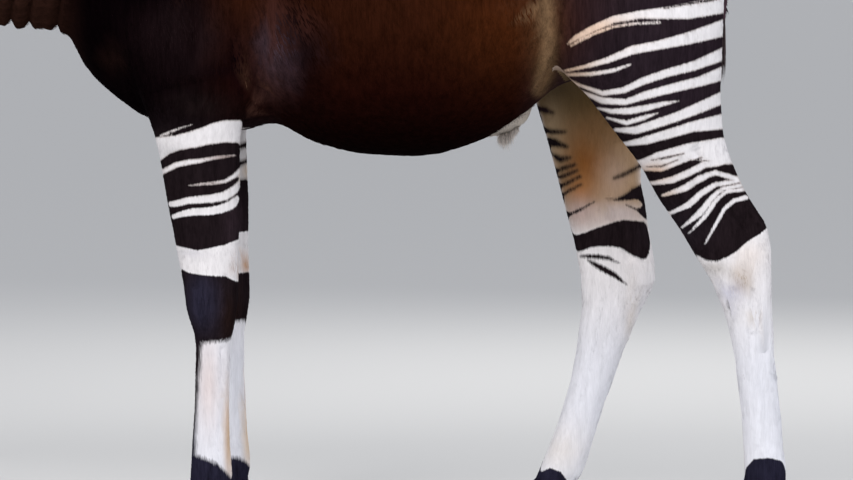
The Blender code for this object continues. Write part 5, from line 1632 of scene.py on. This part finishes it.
# %% [markdown]
# The ossicones are horns of bone. Skin and short hair cover them, and at the tip of an old one the bone is worn
# bare and polished. Each is turned like a spindle, with a little unevenness, and its lower part gets tufts.

# %% Ossicones
OSSICONE_PLACE = (0.132, 0.036, 0.068)
OSSICONE_POINTS = (-0.78, 0.05, 0.62)
# Height and radius
OSSICONE = (
    (-0.004, 0.0236), (0.0, 0.0228), (0.01, 0.0222), (0.02, 0.0213), (0.032, 0.019), (0.045, 0.0164),
    (0.062, 0.0146), (0.08, 0.0134), (0.095, 0.0126), (0.102, 0.0122), (0.105, 0.0112), (0.11, 0.011),
    (0.118, 0.0105), (0.125, 0.0092), (0.13, 0.0072), (0.1335, 0.0042), (0.1343, 0.0015),
)
HORN_SIDES, HORN_TUFTS = 36, 1500
BARE_FROM = 0.103


def horn_material():
    """Hair-covered below, worn bone above."""
    material, shader = new_material("ossicone")
    wires = Wires(material)
    ragged = wires.times(wires.maths("SUBTRACT", wires.noise(300.0), 0.5), 0.006)
    height = wires.add(wires.attribute("height"), ragged)
    tip = wires.spread(height, BARE_FROM - 0.001, BARE_FROM + 0.001)
    grain = wires.noise(1.0, 3.0, (160.0, 420.0, 160.0))
    bone = wires.mix(grain, (0.2, 0.125, 0.062, 1.0), (0.46, 0.35, 0.21, 1.0))
    bone = wires.mix(wires.spread(height, 0.118, 0.134), bone, (0.56, 0.46, 0.31, 1.0))
    skin_colour = wires.mix(grain, (0.014, 0.007, 0.005, 1.0), (0.045, 0.019, 0.011, 1.0))
    wires.join(wires.mix(tip, skin_colour, bone), "Base Color")
    wires.join(wires.spread(tip, 0.0, 1.0, 0.7, 0.3), "Roughness")
    shader.inputs["Specular IOR Level"].default_value = 0.2
    wires.bump(grain, 0.4, 0.0006)
    return material


horn = horn_material()
for word, side in SIDES:
    root = on_head(OSSICONE_PLACE, side)
    along, out, up = OSSICONE_POINTS
    axis = (ALONG_HEAD * along + Vector((0.0, side * out, 0.0)) + UP_HEAD * up).normalized()
    first = axis.orthogonal().normalized()
    second = axis.cross(first)
    heights = [np.linspace(low[0], high[0], 4)[:-1] for low, high in zip(OSSICONE, OSSICONE[1:])]
    heights = np.concatenate([*heights, [OSSICONE[-1][0]]])
    radii = np.interp(heights, *zip(*OSSICONE))
    shape = bmesh.new()
    rings = []
    for height, radius in zip(heights, radii):
        ring = []
        for k in range(HORN_SIDES):
            turn = 2 * math.pi * k / HORN_SIDES
            uneven = 1 + 0.02 * math.sin(3 * turn + 40 * height) + 0.014 * math.sin(5 * turn - 90 * height)
            out = first * math.cos(turn) + second * math.sin(turn)
            ring.append(root + axis * height + out * (radius * min(uneven, 1.0)))
        rings.append(ring)
    add_tube(shape, rings)
    mesh = mesh_from(shape, "horn_" + word)
    store(mesh, "height", (coordinates(mesh) - np.array(root)) @ np.array(axis))
    piece = add_object(mesh.name, mesh, horn)
    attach(piece, "root")
    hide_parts("ossicone_" + word)
    rng = np.random.default_rng(90 + side)
    count = HORN_TUFTS
    high = 0.008 + (BARE_FROM - 0.016) * rng.random(count)
    turn = 2 * math.pi * rng.random(count)
    outward = np.cos(turn)[:, None] * np.array(first) + np.sin(turn)[:, None] * np.array(second)
    radii = np.interp(high, *zip(*OSSICONE)) * 0.97
    roots = np.array(root) + np.array(axis) * high[:, None] + outward * radii[:, None]
    lie = np.tile(np.array(axis), (count, 1)) + 0.15 * rng.normal(size=(count, 3))
    lie = unit(flattened(lie, outward))
    places = unwrapped(roots, np.full(count, CHART_NAMES.index("head")), roots, np.zeros(count, bool))
    length, breadth, lift = rng.uniform(0.006, 0.01, count), np.full(count, 0.001), rng.uniform(0.0003, 0.001, count)
    add_tufts("coat_horn_" + word, roots, outward, places, lie, length, breadth, lift)
print("ossicones", 2)

# %% [markdown]
# A hoof is horn that grows down from the hair line in rings, and wears at its lower edge. Each solid half hoof
# is copied, rounded by a fine remesh, and faint rings are pushed into it. It stays flat on the floor below.

# %% Hooves
HOOF_VOXEL = 0.0015
RING_SPACING, RING_DEPTH, RING_SLOPE = 0.0054, 0.00005, 0.32
SOLE = 0.0012  # what lies lower than this is pressed flat on the floor
HOOF_NAMES = [name for name in solids if name.startswith("hoof_")]


def hoof_material():
    """Dark horn with upright grain, pale scuffs and a dusty lower edge."""
    material, shader = new_material("hoof_horn")
    wires = Wires(material)
    grain = wires.noise(1.0, 3.0, (420.0, 420.0, 40.0))
    cloud = wires.noise(38.0, 3.0)
    height = wires.attribute("height")
    colour = wires.mix(grain, (0.01, 0.008, 0.008, 1.0), (0.036, 0.027, 0.022, 1.0))
    colour = wires.mix(wires.spread(cloud, 0.5, 0.8, 0.0, 0.6), colour, (0.07, 0.052, 0.038, 1.0))
    rings = wires.maths("SINE", wires.times(height, 2 * math.pi / RING_SPACING))
    colour = wires.mix(wires.spread(rings, -1.0, 1.0, 0.22, 0.0), colour, (0.009, 0.007, 0.006, 1.0))
    dust = wires.add(wires.spread(wires.attribute("floor"), 0.012, 0.0), wires.times(cloud, 0.4))
    colour = wires.mix(wires.spread(dust, 0.45, 1.2, 0.0, 0.8), colour, (0.19, 0.15, 0.11, 1.0))
    wires.join(colour, "Base Color")
    wires.join(wires.spread(cloud, 0.3, 0.7, 0.34, 0.62), "Roughness")
    wires.bump(grain, 0.35, 0.0005)
    return material


hoof_horn = hoof_material()
for name in HOOF_NAMES:
    piece = add_object(name.replace("hoof_", "half_hoof_"), solids[name].data.copy(), hoof_horn)
    fuse = piece.modifiers.new("fuse", "REMESH")
    fuse.mode = "VOXEL"
    fuse.voxel_size = HOOF_VOXEL
    round_off = piece.modifiers.new("round", "SMOOTH")
    round_off.iterations = 7
    apply_modifiers(piece)
    mesh = piece.data
    places, facing = coordinates(mesh), coordinates(mesh, "normal")
    ring_height = places[:, 2] + RING_SLOPE * (places[:, 0] - places[:, 0].min())
    ring_height += 0.0016 * np.sin(190 * ring_height) + 0.0006 * wander(places, 60.0, 1.1)
    wall = step(0.9, 0.5, np.abs(facing[:, 2])) * step(0.003, 0.01, places[:, 2])
    places += facing * (RING_DEPTH * np.sin(2 * math.pi * ring_height / RING_SPACING) * wall)[:, None]
    places[:, 2] = np.where(places[:, 2] < SOLE, 0.0, places[:, 2])
    set_coordinates(mesh, places)
    store(mesh, "height", ring_height)
    store(mesh, "floor", places[:, 2])
    mesh.materials.clear()
    mesh.materials.append(hoof_horn)
    mesh.shade_smooth()
    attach(piece, "root")
    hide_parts(name)
print("half hooves", len(HOOF_NAMES), "of", len(mesh.polygons), "facets each")

# %% [markdown]
# Where hair ends it grows longer: over the hooves, along the rims of the ears, which hold a pale fringe inside,
# at the end of the tail, and on the pad under the belly. The fringe over the hooves is tufts of the coat,
# and the others are locks that bend.

# %% Fringe over the hooves
FRINGE_BELOW, FRINGES_PER_AREA = 0.092, 75_000.0
for number, name in enumerate(CHART_NAMES):
    if not name.startswith("leg"):
        continue
    low = (centres[:, 2] < FRINGE_BELOW) & (face_normals[:, 2] > FACES_DOWN)
    faces = np.nonzero((face_charts == number) & low)[0]
    roots, root_normals, facets, rng = deal_roots(faces, np.full(len(faces), FRINGES_PER_AREA), 70 + number)
    count = len(roots)
    lie = lie_of_hair(roots, root_normals, face_charts[facets], rng.uniform(-0.35, 0.35, count))
    places = unwrapped(roots, face_charts[facets], centres[facets], ear_facing[facets])
    length, breadth = rng.uniform(0.011, 0.021, count), rng.uniform(0.0011, 0.0018, count)
    lift = length * rng.uniform(0.1, 0.42, count)
    add_tufts("coat_fringe_" + name, roots, root_normals, places, lie, length, breadth, lift)
print("fringes laid on four feet")

# %% Hair in the ears
ear_hair = hair_material("ear_hair", (0.05, 0.036, 0.028), (0.23, 0.18, 0.14), 0.1)
EAR_HAIRS_PER_AREA = 90_000
for word, side in SIDES:
    root, along, across, _ = (np.array(v) for v in ear_axes(side))
    inner = (face_charts == CHART_NAMES.index("ear_" + word)) & ear_facing
    offset = centres - root
    way, off = offset @ along / EAR_LENGTH, offset @ across
    half = np.interp(way, (0.0, 0.2, 0.5, 0.75, 0.9, 1.0), (0.03, 0.045, 0.058, 0.052, 0.036, 0.012))
    rim = step(0.45, 0.95, np.abs(off) / half) * (way > 0.12)
    faces = np.nonzero(inner & (rim > 0.05))[0]
    roots, root_normals, facets, rng = deal_roots(faces, EAR_HAIRS_PER_AREA * rim[faces], 60 + side)
    count = len(roots)
    inwards = -np.sign((roots - root) @ across)[:, None] * across
    ways = unit(0.75 * along + 0.75 * inwards + 0.55 * root_normals + 0.12 * rng.normal(size=(count, 3)))
    bends = 0.3 * along - 0.25 * root_normals
    lengths = rng.uniform(0.007, 0.019, count)
    shape = (roots - root_normals * 0.0005, ways, bends, lengths, np.full(count, 0.0007), 0.6)
    add_locks("ear_fringe_" + word, ear_hair, "ear", *shape)
    print("hairs in the", word, "ear", count)

# %% Tufts of the tail and belly
TAIL_HAIRS, BELLY_HAIRS = 420, 620
TAIL_END, TAIL_END_LENGTH, TAIL_END_RADIUS = (0.9365, 0.925), 0.045, 0.0045
tail_hair = hair_material("tail_hair", (0.026, 0.013, 0.014), (0.075, 0.046, 0.048), 0.2)
belly_hair = hair_material("belly_hair", (0.6, 0.52, 0.46), (0.86, 0.8, 0.75), 0.0)
rng = np.random.default_rng(31)
turn = 2 * math.pi * rng.random(TAIL_HAIRS)
around = np.stack([np.cos(turn), np.sin(turn), np.zeros(TAIL_HAIRS)], axis=1)
low = rng.random(TAIL_HAIRS)
middle = np.stack([TAIL_END[0] + 0 * low, 0 * low, TAIL_END[1] + TAIL_END_LENGTH * low], axis=1)
roots = np.array(ORIGIN) + middle + around * TAIL_END_RADIUS
ways = unit(around * (0.05 + 0.13 * rng.random((TAIL_HAIRS, 1))) + np.array((-0.02, 0.0, -1.0)))
bends = -0.1 * around + np.array((-0.02, 0.0, -0.02))
lengths, breadths = rng.uniform(0.055, 0.098, TAIL_HAIRS), rng.uniform(0.001, 0.0026, TAIL_HAIRS)
add_locks("tail_tuft", tail_hair, "tuft", roots, ways, bends, lengths, breadths)
place, radii, slope = BELLY_PAD
spot = rng.uniform(-0.72, 0.12, BELLY_HAIRS)
aside = rng.uniform(-0.65, 0.65, BELLY_HAIRS)
lowest = -0.96 * np.sqrt(np.maximum(1 - spot**2 - aside**2, 0.05))
local = np.stack([spot * radii[0], aside * radii[1], lowest * radii[2]], axis=1)
turned = np.array(Matrix.Rotation(-slope, 3, "Y"))
roots = np.array(ORIGIN + Vector(place)) + local @ turned.T
ways = np.stack([-0.2 + 0.35 * spot, 0.3 * aside, -np.ones(BELLY_HAIRS)], axis=1)
ways = unit(ways + 0.16 * rng.normal(size=(BELLY_HAIRS, 3)))
bends = np.stack([0.22 + 0 * spot, -0.2 * aside, 0 * spot], axis=1)
lengths = (0.007 + 0.022 * bell(spot + 0.42, 0.3)) * rng.uniform(0.55, 1.25, BELLY_HAIRS)
breadths = rng.uniform(0.0008, 0.0018, BELLY_HAIRS)
add_locks("belly_tuft", belly_hair, "tuft", roots, ways, bends, lengths, breadths)
print("tail hairs", TAIL_HAIRS, "belly hairs", BELLY_HAIRS)

# %% [markdown]
